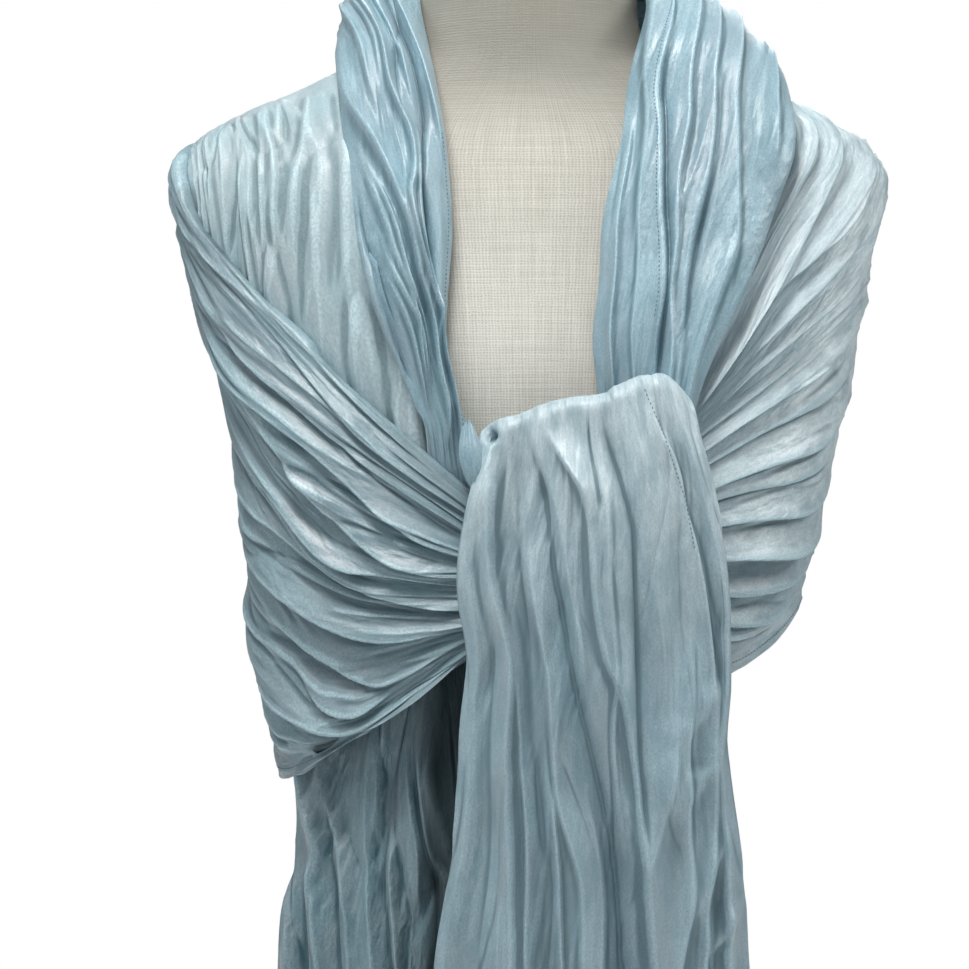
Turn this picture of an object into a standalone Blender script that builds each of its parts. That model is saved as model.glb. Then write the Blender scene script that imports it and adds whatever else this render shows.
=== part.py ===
# Crinkled satin shawl, tied in front with a half knot, on a limbless dress form.
# Metres, +Z up. The front of the form looks along -Y, and its axis is X = Y = 0.
import math

import bmesh
import bpy
import numpy as np

for old in list(bpy.data.objects):
    bpy.data.objects.remove(old)

# Driving sizes
CLOTH = 0.0016
TORSO_BOTTOM = 0.317
NECK_TOP = 1.037
CAP_THICK = 0.013
BASE_RADIUS = 0.170
BASE_THICK = 0.014
POLE_RADIUS = 0.0125
FLANGE_RADIUS = 0.034
FLANGE_THICK = 0.006
CAP_RADIUS = 0.050
EDGE_ROUND = 0.004
GAP = 0.0003
RING_POINTS = 32

# Colours
SATIN = (0.36, 0.50, 0.56)
SATIN_ROUGHNESS = 0.38
LINEN = (0.62, 0.58, 0.50)
CAP_WOOD = (0.30, 0.20, 0.12)
STEEL = (0.55, 0.55, 0.55)

# Pleats: how far they stand out of each stretch, and how far they drift across it
PLEAT = 0.0075
PANEL_PLEAT = 0.0045
COLLAR_PLEAT = 0.0045
TAIL_PLEAT = 0.010
DRIFT = 0.012
PANEL_DRIFT = 0.010
LOOSE_DRIFT = 0.020
# Folds of each stretch
PANEL_FOLDS = 9
LEFT_FOLDS = 14
RIGHT_FOLDS = 18
COLLAR_FOLDS = 9
TAIL_FOLDS = 9
# Where each stretch starts in the run of wide and narrow folds
PANEL_START = 2.2
LEFT_START = 0.4
RIGHT_START = 1.7
COLLAR_START = 0.9
TAIL_START = 0.5

# Torso sections: height, half width, depth in front, depth behind
TORSO = [
    (0.317, 0.147, 0.078, 0.102),
    (0.345, 0.151, 0.085, 0.110),
    (0.380, 0.144, 0.087, 0.112),
    (0.407, 0.134, 0.086, 0.108),
    (0.450, 0.127, 0.082, 0.097),
    (0.500, 0.120, 0.078, 0.086),
    (0.560, 0.113, 0.076, 0.079),
    (0.620, 0.119, 0.083, 0.083),
    (0.680, 0.133, 0.098, 0.090),
    (0.720, 0.142, 0.104, 0.094),
    (0.760, 0.149, 0.102, 0.096),
    (0.800, 0.158, 0.093, 0.097),
    (0.840, 0.169, 0.082, 0.093),
    (0.870, 0.178, 0.073, 0.086),
    (0.892, 0.180, 0.064, 0.077),
    (0.908, 0.165, 0.056, 0.067),
    (0.922, 0.137, 0.051, 0.060),
    (0.935, 0.106, 0.049, 0.055),
    (0.950, 0.078, 0.050, 0.051),
    (0.970, 0.064, 0.052, 0.049),
    (1.000, 0.060, 0.052, 0.048),
    (1.037, 0.059, 0.051, 0.047),
]

# Sections of the space the worn cloth keeps: height, half width left, right, depth in front, behind
CAPE = [
    (0.450, 0.142, 0.150, 0.110, 0.120),
    (0.525, 0.146, 0.152, 0.113, 0.120),
    (0.580, 0.157, 0.156, 0.115, 0.119),
    (0.610, 0.163, 0.161, 0.117, 0.118),
    (0.650, 0.166, 0.168, 0.119, 0.117),
    (0.700, 0.169, 0.179, 0.121, 0.116),
    (0.750, 0.178, 0.191, 0.122, 0.115),
    (0.800, 0.194, 0.200, 0.117, 0.113),
    (0.840, 0.206, 0.208, 0.108, 0.109),
    (0.870, 0.2135, 0.2135, 0.099, 0.103),
    (0.890, 0.2125, 0.2125, 0.090, 0.095),
    (0.905, 0.202, 0.202, 0.081, 0.087),
    (0.920, 0.178, 0.177, 0.072, 0.078),
    (0.935, 0.143, 0.148, 0.064, 0.070),
    (0.950, 0.112, 0.124, 0.060, 0.065),
    (0.970, 0.088, 0.094, 0.059, 0.062),
    (1.000, 0.074, 0.078, 0.058, 0.060),
]

# Left swag, a row per main fold: height at the side, flank, belly and knot
WING_LEFT_ANGLES = (-90, -61, -36, -8)
WING_LEFT = [
    (0.893, 0.833, 0.7665, 0.6880),
    (0.8386, 0.777, 0.721, 0.6640),
    (0.781, 0.720, 0.665, 0.6460),
    (0.690, 0.655, 0.6285, 0.6260),
    (0.636, 0.585, 0.572, 0.6170),
    (0.531, 0.534, 0.5605, 0.6100),
]

# Right swag, a row per main fold: height at the side, flank, belly, fall edge and knot
WING_RIGHT_ANGLES = (90, 60, 45, 30, 17)
WING_RIGHT = [
    (0.9550, 0.940, 0.895, 0.790, 0.712),
    (0.9255, 0.889, 0.835, 0.756, 0.708),
    (0.9075, 0.838, 0.801, 0.746, 0.703),
    (0.842, 0.805, 0.772, 0.735, 0.698),
    (0.793, 0.766, 0.745, 0.717, 0.690),
    (0.721, 0.705, 0.697, 0.686, 0.673),
    (0.6544, 0.652, 0.651, 0.649, 0.645),
    (0.612, 0.601, 0.597, 0.600, 0.618),
]

# Back stretch at the middle of the back
BACK_TOP = 0.968
BACK_HEM = 0.492
# Degrees: the open joint at each side, and where folds start to level out before it
SEAM_TURN = 0.35
SIDE_START = 74
# How far the panel's outer edge dips in to pass under the swag
PANEL_TUCK = 0.004
# Share of the cloth's width that the shoulder panel takes
PANEL_SHARE = 0.28
# How far the left swag rides over the panel
SWAG_LIFT = 0.010

# Left shoulder panel, a row per fold: half width at the shoulder line, then where its hidden lower end lies
SHOULDER_LEFT = [
    (0.098, -0.056, 0.712),
    (0.135, -0.100, 0.728),
    (0.163, -0.140, 0.762),
    (0.187, -0.160, 0.785),
    (0.203, -0.178, 0.790),
    (0.2133, -0.188, 0.792),
]

# Collar, a row per section: inner edge x, y, z, outer edge x, y, z, height of its roll
COLLAR_LEFT = [
    (-0.0338, -0.1180, 0.709, -0.0580, -0.1240, 0.729, 0.002),
    (-0.0370, -0.1170, 0.736, -0.0655, -0.1240, 0.747, 0.004),
    (-0.0474, -0.1120, 0.767, -0.0745, -0.1220, 0.771, 0.007),
    (-0.0468, -0.1000, 0.804, -0.0885, -0.1170, 0.804, 0.012),
    (-0.0442, -0.0870, 0.8485, -0.0978, -0.1010, 0.8485, 0.015),
    (-0.0473, -0.0720, 0.892, -0.1059, -0.0813, 0.892, 0.017),
    (-0.0545, -0.0530, 0.937, -0.1120, -0.0520, 0.938, 0.018),
    (-0.0640, -0.0120, 0.993, -0.1140, -0.0050, 0.960, 0.018),
]
COLLAR_BACK = [
    (-0.0566, 0.0265, 1.009, -0.1020, 0.0500, 0.962, 0.017),
    (0.0000, 0.0545, 1.014, 0.0000, 0.0920, 0.952, 0.015),
    (0.0588, 0.0250, 1.008, 0.1230, 0.0480, 0.955, 0.017),
]
COLLAR_RIGHT = [
    (0.0665, -0.0120, 0.993, 0.1480, -0.0040, 0.950, 0.016),
    (0.0654, -0.0500, 0.9626, 0.1530, -0.0520, 0.925, 0.016),
    (0.0560, -0.0620, 0.919, 0.1520, -0.0800, 0.892, 0.015),
    (0.0480, -0.0800, 0.878, 0.1400, -0.0940, 0.858, 0.014),
    (0.0410, -0.0920, 0.838, 0.1288, -0.1060, 0.830, 0.012),
    (0.0370, -0.1020, 0.804, 0.1167, -0.1160, 0.801, 0.010),
    (0.0365, -0.1080, 0.7755, 0.1036, -0.1210, 0.7755, 0.007),
    (0.0370, -0.1120, 0.747, 0.0935, -0.1246, 0.7490, 0.004),
]

# Front fall, a row per section: height, left edge, right edge
FALL = [
    (0.235, -0.058, 0.124),
    (0.330, -0.056, 0.122),
    (0.440, -0.051, 0.118),
    (0.500, -0.042, 0.114),
    (0.560, -0.0385, 0.1065),
    (0.600, -0.0345, 0.107),
    (0.650, -0.039, 0.1065),
    (0.700, -0.030, 0.100),
    (0.730, -0.026, 0.092),
    (0.760, -0.022, 0.086),
]
FALL_FRONT = -0.156
FALL_LIP = -0.137
# Top of the roll over the knot: across from the left edge, height
FALL_TOP = [
    (0.00, 0.727),
    (0.20, 0.738),
    (0.40, 0.743),
    (0.60, 0.750),
    (0.78, 0.760),
    (0.90, 0.757),
    (1.00, 0.745),
]
FALL_HEM = 0.240
# How far its side edges lie behind its middle
FALL_BOW = 0.014
# Its creases: place across at the levels below, width, and height out of the cloth
FALL_LEVELS = (0.745, 0.700, 0.600, 0.500, 0.440)
FALL_FOLDS = [
    (0.00, 0.02, 0.02, 0.05, 0.02, 0.030, 0.0040),
    (0.02, 0.05, 0.15, 0.19, 0.25, 0.028, 0.0070),
    (0.07, 0.11, 0.21, 0.26, 0.32, 0.035, -0.0060),
    (0.12, 0.20, 0.27, 0.40, 0.47, 0.030, 0.0055),
    (0.14, 0.29, 0.34, 0.46, 0.52, 0.026, 0.0030),
    (0.16, 0.35, 0.40, 0.55, 0.60, 0.030, -0.0060),
    (0.20, 0.43, 0.51, 0.65, 0.685, 0.026, 0.0080),
    (0.26, 0.48, 0.56, 0.69, 0.725, 0.030, -0.0055),
    (0.40, 0.56, 0.605, 0.71, 0.755, 0.028, 0.0035),
    (0.50, 0.62, 0.65, 0.735, 0.785, 0.026, -0.0050),
    (0.58, 0.70, 0.705, 0.77, 0.81, 0.030, 0.0045),
    (0.66, 0.76, 0.775, 0.81, 0.84, 0.030, -0.0035),
    (0.72, 0.80, 0.84, 0.86, 0.87, 0.030, 0.0050),
    (0.80, 0.87, 0.935, 0.93, 0.92, 0.025, -0.0060),
    (0.94, 0.95, 0.985, 0.98, 0.98, 0.030, 0.0040),
]

# Left tail, a row per section: height, left edge, right edge, depth and half span of its curve
TAIL = [
    (0.262, -0.150, -0.012, 0.116, 0.182),
    (0.350, -0.147, -0.012, 0.114, 0.178),
    (0.440, -0.141, -0.014, 0.108, 0.170),
    (0.490, -0.136, -0.016, 0.102, 0.158),
    (0.540, -0.128, -0.018, 0.096, 0.149),
    (0.630, -0.108, -0.022, 0.094, 0.148),
    (0.690, -0.086, -0.022, 0.1015, 0.148),
]

# Packed turn inside the knot, a row per section: across, middle height, half height, half depth
KNOT = [
    (-0.040, 0.7160, 0.006, 0.004),
    (-0.036, 0.7160, 0.012, 0.008),
    (-0.031, 0.7150, 0.012, 0.009),
    (-0.026, 0.7080, 0.007, 0.009),
    (-0.017, 0.7070, 0.007, 0.009),
    (-0.008, 0.6980, 0.015, 0.009),
    (0.010, 0.6920, 0.021, 0.010),
    (0.022, 0.6920, 0.019, 0.009),
    (0.030, 0.6920, 0.010, 0.005),
]
KNOT_DEPTH = -0.133
KNOT_POINTS = 16


def smooth(rows, at):
    """Columns of a table between its rows, eased along its first column."""
    rows = np.asarray(rows, float)
    knots = rows[:, 0]
    values = rows[:, 1:]
    slopes = np.gradient(values, knots, axis=0)
    at = np.clip(np.asarray(at, float), knots[0], knots[-1])
    low = np.clip(np.searchsorted(knots, at, side="right") - 1, 0, len(knots) - 2)
    span = (knots[low + 1] - knots[low])[..., None]
    part = (at[..., None] - knots[low][..., None]) / span
    square = part * part
    cube = square * part
    return (
        (2 * cube - 3 * square + 1) * values[low]
        + (cube - 2 * square + part) * span * slopes[low]
        + (3 * square - 2 * cube) * values[low + 1]
        + (cube - square) * span * slopes[low + 1]
    )


def ease(part):
    """0 to 1 with a soft start and end."""
    part = np.clip(part, 0, 1)
    return part * part * (3 - 2 * part)


def numbered(rows):
    """The same rows with their place from 0 to 1 in front."""
    count = len(rows) - 1
    return [(place / count,) + tuple(row) for place, row in enumerate(rows)]


def cape_point(angle, height):
    """A point on the worn cloth's space: angle from the front, negative to the left."""
    left, right, front, back = np.moveaxis(smooth(CAPE, height), -1, 0)
    turn = np.radians(angle)
    wide = np.where(np.sin(turn) < 0, left, right)
    deep = np.where(np.cos(turn) > 0, front, back)
    return np.stack([wide * np.sin(turn), -deep * np.cos(turn), height], -1)


def cape_normal(angle, height):
    """Direction straight out of the worn cloth there."""
    sideways = cape_point(angle + 0.5, height) - cape_point(angle - 0.5, height)
    upward = cape_point(angle, height + 0.001) - cape_point(angle, height - 0.001)
    normal = np.cross(sideways, upward)
    return normal / np.linalg.norm(normal, axis=-1, keepdims=True)


def crest_height(wide, side):
    """Height of the shoulder line at a half width."""
    heights = np.linspace(0.872, 1.0, 70)
    widths = smooth(CAPE, heights)[:, side]
    return np.interp(wide, widths[::-1], heights[::-1])


def pleats(across, widths, depth, wander):
    """Rounded pleats with creased valleys: widths are uneven, and each pleat drifts by wander."""
    edges = np.concatenate([[0], np.cumsum(widths)]) / np.sum(widths)
    place = np.clip(across + wander, 0, 1)
    index = np.clip(np.searchsorted(edges, place, side="right") - 1, 0, len(widths) - 1)
    part = (place - edges[index]) / (edges[index + 1] - edges[index])
    share = widths[index] / np.mean(widths)
    return depth * np.sqrt(share) * (np.sin(np.pi * part) ** 0.8 - 0.5)


def uneven(count, phase):
    """Widths of wide and narrow folds in turn."""
    order = np.arange(count)
    return 1 + 0.32 * np.sin(2.4 * order + phase) + 0.18 * np.sin(4.1 * order + 2 * phase)


def normals_of(points):
    """Direction straight out of a grid of points."""
    along = np.gradient(points, axis=0)
    across = np.gradient(points, axis=1)
    normal = np.cross(along, across)
    return normal / np.linalg.norm(normal, axis=-1, keepdims=True)


def material(name, colour, roughness, metallic=0.0):
    made = bpy.data.materials.new(name)
    made.use_nodes = True
    shader = made.node_tree.nodes["Principled BSDF"]
    shader.inputs["Base Color"].default_value = (*colour, 1)
    shader.inputs["Roughness"].default_value = roughness
    shader.inputs["Metallic"].default_value = metallic
    made.diffuse_color = (*colour, 1)
    return made


def sheet(name, points):
    """A wall of the satin laid through a grid of points, along by across."""
    along, across = points.shape[:2]
    mesh = bpy.data.meshes.new(name)
    shaped = bmesh.new()
    bmesh.ops.create_grid(shaped, x_segments=along - 1, y_segments=across - 1, size=0.5)
    for vertex in shaped.verts:
        row = round((vertex.co.x + 0.5) * (along - 1))
        column = round((vertex.co.y + 0.5) * (across - 1))
        vertex.co = points[row, column]
    shaped.to_mesh(mesh)
    shaped.free()
    made = bpy.data.objects.new(name, mesh)
    bpy.context.collection.objects.link(made)
    wall = made.modifiers.new("wall", "SOLIDIFY")
    wall.thickness = CLOTH
    wall.offset = 0.0
    for face in mesh.polygons:
        face.use_smooth = True
    mesh.materials.append(material(name, SATIN, SATIN_ROUGHNESS))


def rings(name, sections, colour, roughness, metallic=0.0):
    """A closed body through rings of points, capped at both ends."""
    mesh = bpy.data.meshes.new(name)
    shaped = bmesh.new()
    loops = []
    for section in sections:
        ring = bmesh.ops.create_circle(shaped, segments=len(section), radius=1.0)["verts"]
        for vertex, point in zip(ring, section):
            vertex.co = point
        loops.append(ring)
    ring_edges = [{edge for vertex in ring for edge in vertex.link_edges} for ring in loops]
    for lower, upper in zip(ring_edges, ring_edges[1:]):
        bmesh.ops.bridge_loops(shaped, edges=list(lower | upper))
    shaped.faces.new(loops[0])
    shaped.faces.new(loops[-1])
    bmesh.ops.recalc_face_normals(shaped, faces=shaped.faces)
    shaped.to_mesh(mesh)
    shaped.free()
    made = bpy.data.objects.new(name, mesh)
    bpy.context.collection.objects.link(made)
    for face in mesh.polygons:
        face.use_smooth = len(face.vertices) == 4
    mesh.materials.append(material(name, colour, roughness, metallic))


def level_ring(across, deep, height):
    """A level ring of points from its half width and depth."""
    level = np.full(RING_POINTS, height)
    return np.stack([across * np.cos(around), deep * np.sin(around), level], -1)


# Dress form: a padded shell covered in linen-look cloth
around = np.linspace(0, 2 * math.pi, RING_POINTS, endpoint=False)
body_heights = np.linspace(0.36, 0.88, 12)
shoulder_heights = [0.892, 0.902, 0.912, 0.922, 0.935, 0.950, 0.970, 1.0]
torso_rings = []
for height in (
    [TORSO_BOTTOM, TORSO_BOTTOM + 0.005, TORSO_BOTTOM + 0.015]
    + list(body_heights)
    + shoulder_heights
    + [NECK_TOP - EDGE_ROUND, NECK_TOP]
):
    wide, front, back = smooth(TORSO, height)
    if height in (TORSO_BOTTOM, NECK_TOP):
        wide = wide - EDGE_ROUND
    torso_rings.append(level_ring(wide, np.where(np.sin(around) < 0, front, back), height))
rings("torso", torso_rings, LINEN, 0.85)


def turned(name, profile, colour, roughness, metallic):
    """A round piece from radius and height pairs."""
    sections = [level_ring(radius, radius, height) for radius, height in profile]
    rings(name, sections, colour, roughness, metallic)


turned("neck_cap", [
    (CAP_RADIUS - EDGE_ROUND, NECK_TOP + GAP),
    (CAP_RADIUS, NECK_TOP + EDGE_ROUND),
    (CAP_RADIUS, NECK_TOP + CAP_THICK - EDGE_ROUND),
    (CAP_RADIUS - EDGE_ROUND, NECK_TOP + CAP_THICK),
], CAP_WOOD, 0.5, 0.0)
turned("base", [
    (BASE_RADIUS, 0.0),
    (BASE_RADIUS, BASE_THICK - EDGE_ROUND),
    (BASE_RADIUS - EDGE_ROUND, BASE_THICK),
], STEEL, 0.35, 1.0)
turned("pole", [
    (FLANGE_RADIUS, BASE_THICK + GAP),
    (FLANGE_RADIUS, BASE_THICK + FLANGE_THICK),
    (POLE_RADIUS + EDGE_ROUND, BASE_THICK + 2 * FLANGE_THICK),
    (POLE_RADIUS, BASE_THICK + 2 * FLANGE_THICK + EDGE_ROUND),
    (POLE_RADIUS, TORSO_BOTTOM - 2 * FLANGE_THICK),
    (FLANGE_RADIUS, TORSO_BOTTOM - FLANGE_THICK),
    (FLANGE_RADIUS, TORSO_BOTTOM - GAP),
], STEEL, 0.30, 1.0)


def rounded_side(angle):
    """Turns the last degrees before the side so that folds cross it level."""
    size = np.abs(angle)
    part = np.clip((size - SIDE_START) / (90 - SIDE_START), 0, 1)
    level = SIDE_START + (90 - SIDE_START) * (part - part**2 / 2)
    return np.sign(angle) * np.where(size > SIDE_START, level, size)


def fold_heights(table, angles, across, angle):
    """Heights of the folds of a swag at each angle, angle by across."""
    sign = 1 if angles[-1] > angles[0] else -1
    order = [sign * value for value in angles]
    rows = smooth(numbered(table), across)
    toward = sign * rounded_side(angle)
    return np.stack([smooth(np.column_stack([order, row]), toward)[:, 0] for row in rows], 1)


def wing(table, angles, steps_along, folds, across, lift, phase):
    """A swag through its main folds, from the side of the arm to the knot."""
    angle = np.linspace(angles[0], angles[-1], steps_along)
    height = fold_heights(table, angles, across, angle)
    turned_to = angle[:, None] + 0 * height
    points = cape_point(turned_to, height)
    out = cape_normal(turned_to, height)
    part = (angle[:, None] - angles[0]) / (angles[-1] - angles[0])
    raised = lift * ease(part / 0.22)
    wander = DRIFT * np.sin(5 * part + 9 * across[None, :])
    near_knot = 1 - 0.45 * ease((part - 0.5) / 0.5)
    folded = pleats(across[None, :] + 0 * part, uneven(folds, phase), PLEAT, wander) * near_knot
    return points + out * (raised + folded)[..., None]


over_panel = np.linspace(0, 1, 28)
over_wing = np.linspace(0, 1, 43)
below_panel = PANEL_SHARE + over_wing[1:] * (1 - PANEL_SHARE)
over_all = np.concatenate([over_panel * PANEL_SHARE, below_panel])
sheet("wing_left", wing(WING_LEFT, WING_LEFT_ANGLES, 10, LEFT_FOLDS, over_wing, SWAG_LIFT, LEFT_START))
sheet("wing_right", wing(WING_RIGHT, WING_RIGHT_ANGLES, 9, RIGHT_FOLDS, over_all, 0.0, RIGHT_START))

# Left shoulder panel
across = over_panel
crest, low_x, low_z = np.moveaxis(smooth(numbered(SHOULDER_LEFT), across), -1, 0)
top = crest_height(crest, 0)
part = np.linspace(0, 1, 7)[:, None]
panel_z = top - (top - low_z) * part**1.8
panel_x = -crest + (low_x + crest) * part
left_half, _, front, _ = np.moveaxis(smooth(CAPE, panel_z), -1, 0)
panel_y = -front * np.sqrt(np.clip(1 - (panel_x / left_half) ** 2, 0, 1))
panel = np.stack([panel_x, panel_y, panel_z], -1)
panel_turn = -np.degrees(np.arcsin(np.clip(-panel_x / left_half, 0, 1)))
out = cape_normal(panel_turn, panel_z)
wander = PANEL_DRIFT * np.sin(4 * part + 8 * across)
folded = pleats(across + 0 * part, uneven(PANEL_FOLDS, PANEL_START), PANEL_PLEAT, wander)
tucked = PANEL_TUCK * ease((across - 0.7) / 0.3) * ease(part / 0.12)
sheet("shoulder_left", panel + out * (folded - tucked)[..., None])

# Back stretch: at its ends it follows the panel and swags, and across the back it hangs between them
across = over_all
on_panel = np.clip(across / PANEL_SHARE, 0, 1)
on_wing = np.clip((across - PANEL_SHARE) / (1 - PANEL_SHARE), 0, 1)
left_end = np.where(
    across < PANEL_SHARE,
    crest_height(smooth(numbered(SHOULDER_LEFT), on_panel)[:, 0], 0),
    fold_heights(WING_LEFT, WING_LEFT_ANGLES, on_wing, np.array([-90.0]))[0],
)
right_end = fold_heights(WING_RIGHT, WING_RIGHT_ANGLES, across, np.array([90.0]))[0]
middle = BACK_TOP - (BACK_TOP - BACK_HEM) * (0.92 * across + 0.08 * across**2)
angle = np.linspace(90 + SEAM_TURN, 270 - SEAM_TURN, 12)[:, None]
part = (angle - 90) / 180
sides = np.cos(np.radians(angle - 90)) ** 2
ends = np.where(angle < 180, right_end, left_end)
height = middle + (ends - middle) * sides
points = cape_point(angle, height)
panel_drift = PANEL_DRIFT * np.sin(8 * on_panel)
left_folds = np.where(
    across < PANEL_SHARE,
    pleats(on_panel, uneven(PANEL_FOLDS, PANEL_START), PANEL_PLEAT, panel_drift),
    pleats(on_wing, uneven(LEFT_FOLDS, LEFT_START), PLEAT, DRIFT * np.sin(9 * on_wing)),
)
right_folds = pleats(across, uneven(RIGHT_FOLDS, RIGHT_START), PLEAT, DRIFT * np.sin(9 * across))
shift = ease((part - 0.25) / 0.5)
folded = right_folds * (1 - shift) + left_folds * shift
out = cape_normal(angle + 0 * height, height)
sheet("back_wrap", points + out * folded[..., None])

# Collar: one roll from the knot round the nape and back, in three stretches
collar_rows = numbered(COLLAR_LEFT + COLLAR_BACK + COLLAR_RIGHT)
collar_last = len(collar_rows) - 1


def collar(name, first, last, steps_along):
    """A stretch of the collar between two places in the table."""
    along = np.linspace(first, last, steps_along) / collar_last
    section = smooth(collar_rows, along)
    inner = section[:, None, 0:3]
    outer = section[:, None, 3:6]
    roll = section[:, None, 6]
    across = np.linspace(0, 1, 26)[None, :]
    points = inner + (outer - inner) * across[..., None]
    out = normals_of(points)
    wide = np.linalg.norm(outer - inner, axis=-1)
    wander = LOOSE_DRIFT * np.sin(22 * along[:, None] + 7 * across)
    folded = pleats(across + 0 * roll, uneven(COLLAR_FOLDS, COLLAR_START), 1.0, wander)
    folded = folded * np.clip(0.6 * wide / COLLAR_FOLDS, 0, COLLAR_PLEAT)
    raised = roll * np.sin(np.pi * across) ** 0.7 + folded
    sheet(name, points + out * raised[..., None])


collar("collar_left", 0, 7.47, 12)
collar("collar_back", 7.5, 10.5, 7)
collar("collar_right", 10.535, collar_last, 12)

# Front fall: rolls over the knot from behind, then hangs free
across = np.linspace(0, 1, 41)
roll_top = smooth(FALL_TOP, across)[:, 0]
roll_radius = (FALL_LIP - FALL_FRONT) / 2
roll_turn = np.radians(np.linspace(20, 180, 4))[:, None]
roll_depth = (FALL_LIP + FALL_FRONT) / 2 + roll_radius * np.cos(roll_turn)
roll_height = roll_top - roll_radius + roll_radius * np.sin(roll_turn)
down = np.linspace(0, 1, 12)[1:, None]
hang_height = (roll_top - roll_radius) - (roll_top - roll_radius - FALL_HEM) * down
height = np.concatenate([roll_height, hang_height])
depth = np.concatenate([roll_depth + 0 * across, FALL_FRONT + 0 * hang_height])
edges = smooth(FALL, height)
depth = depth + FALL_BOW * (2 * across - 1) ** 2
side = edges[..., 0] + (edges[..., 1] - edges[..., 0]) * across
points = np.stack([side, depth, height], -1)
out = normals_of(points)
folded = np.zeros(height.shape)
for *places, wide, high in FALL_FOLDS:
    place = smooth(np.column_stack([FALL_LEVELS[::-1], places[::-1]]), height)[..., 0]
    folded = folded + high * np.exp(-np.abs((across - place) / wide) ** 1.6)
folded = folded * (0.25 + 0.75 * ease((roll_top - height) / 0.06))
sheet("front_fall", points + out * folded[..., None])

# Left tail: hangs from inside the left swag
across = np.linspace(0, 1, 28)
height = np.linspace(TAIL[-1][0], TAIL[0][0], 10)[:, None] + 0 * across
edges = smooth(TAIL, height)
side = edges[..., 0] + (edges[..., 1] - edges[..., 0]) * across
depth = -edges[..., 2] * np.sqrt(1 - (side / edges[..., 3]) ** 2)
points = np.stack([side, depth, height], -1)
out = normals_of(points)
wander = LOOSE_DRIFT * np.sin(26 * height + 6 * across)
folded = pleats(across + 0 * height, uneven(TAIL_FOLDS, TAIL_START), TAIL_PLEAT, wander)
folded = folded * (1 - 0.6 * ease((height - 0.50) / 0.05))
sheet("tail_left", points + out * folded[..., None])

# Knot: the packed turn of cloth that the fall passes over
knot_turn = np.linspace(0, 2 * math.pi, KNOT_POINTS, endpoint=False)
packed = []
for place in np.linspace(KNOT[0][0], KNOT[-1][0], 10):
    middle_height, half_height, half_depth = smooth(KNOT, place)
    ridge = 1 + 0.06 * np.sin(5 * knot_turn + 60 * place)
    packed.append(np.stack([
        np.full(KNOT_POINTS, place),
        KNOT_DEPTH + half_depth * ridge * np.cos(knot_turn),
        middle_height + half_height * ridge * np.sin(knot_turn),
    ], -1))
rings("knot", packed, SATIN, SATIN_ROUGHNESS)
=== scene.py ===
import math

import bmesh
import bpy
import numpy as np
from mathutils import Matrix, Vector


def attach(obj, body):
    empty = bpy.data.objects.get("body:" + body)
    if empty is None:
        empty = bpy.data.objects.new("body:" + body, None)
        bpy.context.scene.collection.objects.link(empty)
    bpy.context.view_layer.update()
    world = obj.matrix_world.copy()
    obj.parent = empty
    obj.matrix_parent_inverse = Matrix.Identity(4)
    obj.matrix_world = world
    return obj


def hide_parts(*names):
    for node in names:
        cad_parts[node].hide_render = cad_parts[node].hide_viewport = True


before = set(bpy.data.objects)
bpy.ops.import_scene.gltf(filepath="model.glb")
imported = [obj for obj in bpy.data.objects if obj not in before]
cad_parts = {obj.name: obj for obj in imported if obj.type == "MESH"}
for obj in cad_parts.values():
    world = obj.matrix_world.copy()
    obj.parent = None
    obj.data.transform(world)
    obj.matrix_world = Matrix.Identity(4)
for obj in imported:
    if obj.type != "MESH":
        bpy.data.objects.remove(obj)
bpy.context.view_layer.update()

# Viewing place: the shawl fills the frame at chest height, seen straight from the front.
# A white room, with one soft lamp close overhead and three further off: left, right and behind.
view_from = (-0.0257, -1.6, 0.70)
view_lens = 98.4
chest = Vector((0.0, 0.0, 0.72))
warm_white = (1.0, 0.99, 0.97)
cool_white = (0.95, 0.98, 1.0)


def placed(name, data):
    """Puts a camera, a lamp or a mesh into the scene."""
    made = bpy.data.objects.new(name, data)
    bpy.context.collection.objects.link(made)
    return made


eye = placed("eye", bpy.data.cameras.new("eye"))
eye.data.lens = view_lens
eye.data.sensor_width = 36
eye.data.dof.use_dof = False
eye.data.clip_start = 0.05
eye.data.clip_end = 60
eye.location = view_from
eye.rotation_euler = (math.radians(90), 0, 0)
bpy.context.scene.camera = eye
bpy.context.scene.view_settings.view_transform = "Standard"
bpy.context.scene.view_settings.look = "None"


def room_lamp(name, place, wide, watts, colour):
    """A square soft lamp of the room that points at the chest."""
    lamp = bpy.data.lights.new(name, "AREA")
    lamp.size = wide
    lamp.energy = watts
    lamp.color = colour
    hung = placed(name, lamp)
    hung.location = place
    hung.rotation_euler = (Vector(place) - chest).to_track_quat("Z", "Y").to_euler()


room_lamp("lamp_above", (-0.22, -0.62, 1.86), 0.50, 13.5, warm_white)
room_lamp("lamp_left", (-1.5, -0.55, 1.6), 0.7, 3.5, cool_white)
room_lamp("lamp_right", (1.5, -0.40, 1.7), 0.7, 10.0, warm_white)
room_lamp("lamp_behind", (0.2, 1.6, 1.8), 0.9, 22.0, warm_white)


def node(tree, kind, **settings):
    """A new shader node with its inputs and settings by name."""
    made = tree.nodes.new(kind)
    for key, value in settings.items():
        if key in made.inputs:
            made.inputs[key].default_value = value
        else:
            setattr(made, key, value)
    return made


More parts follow.
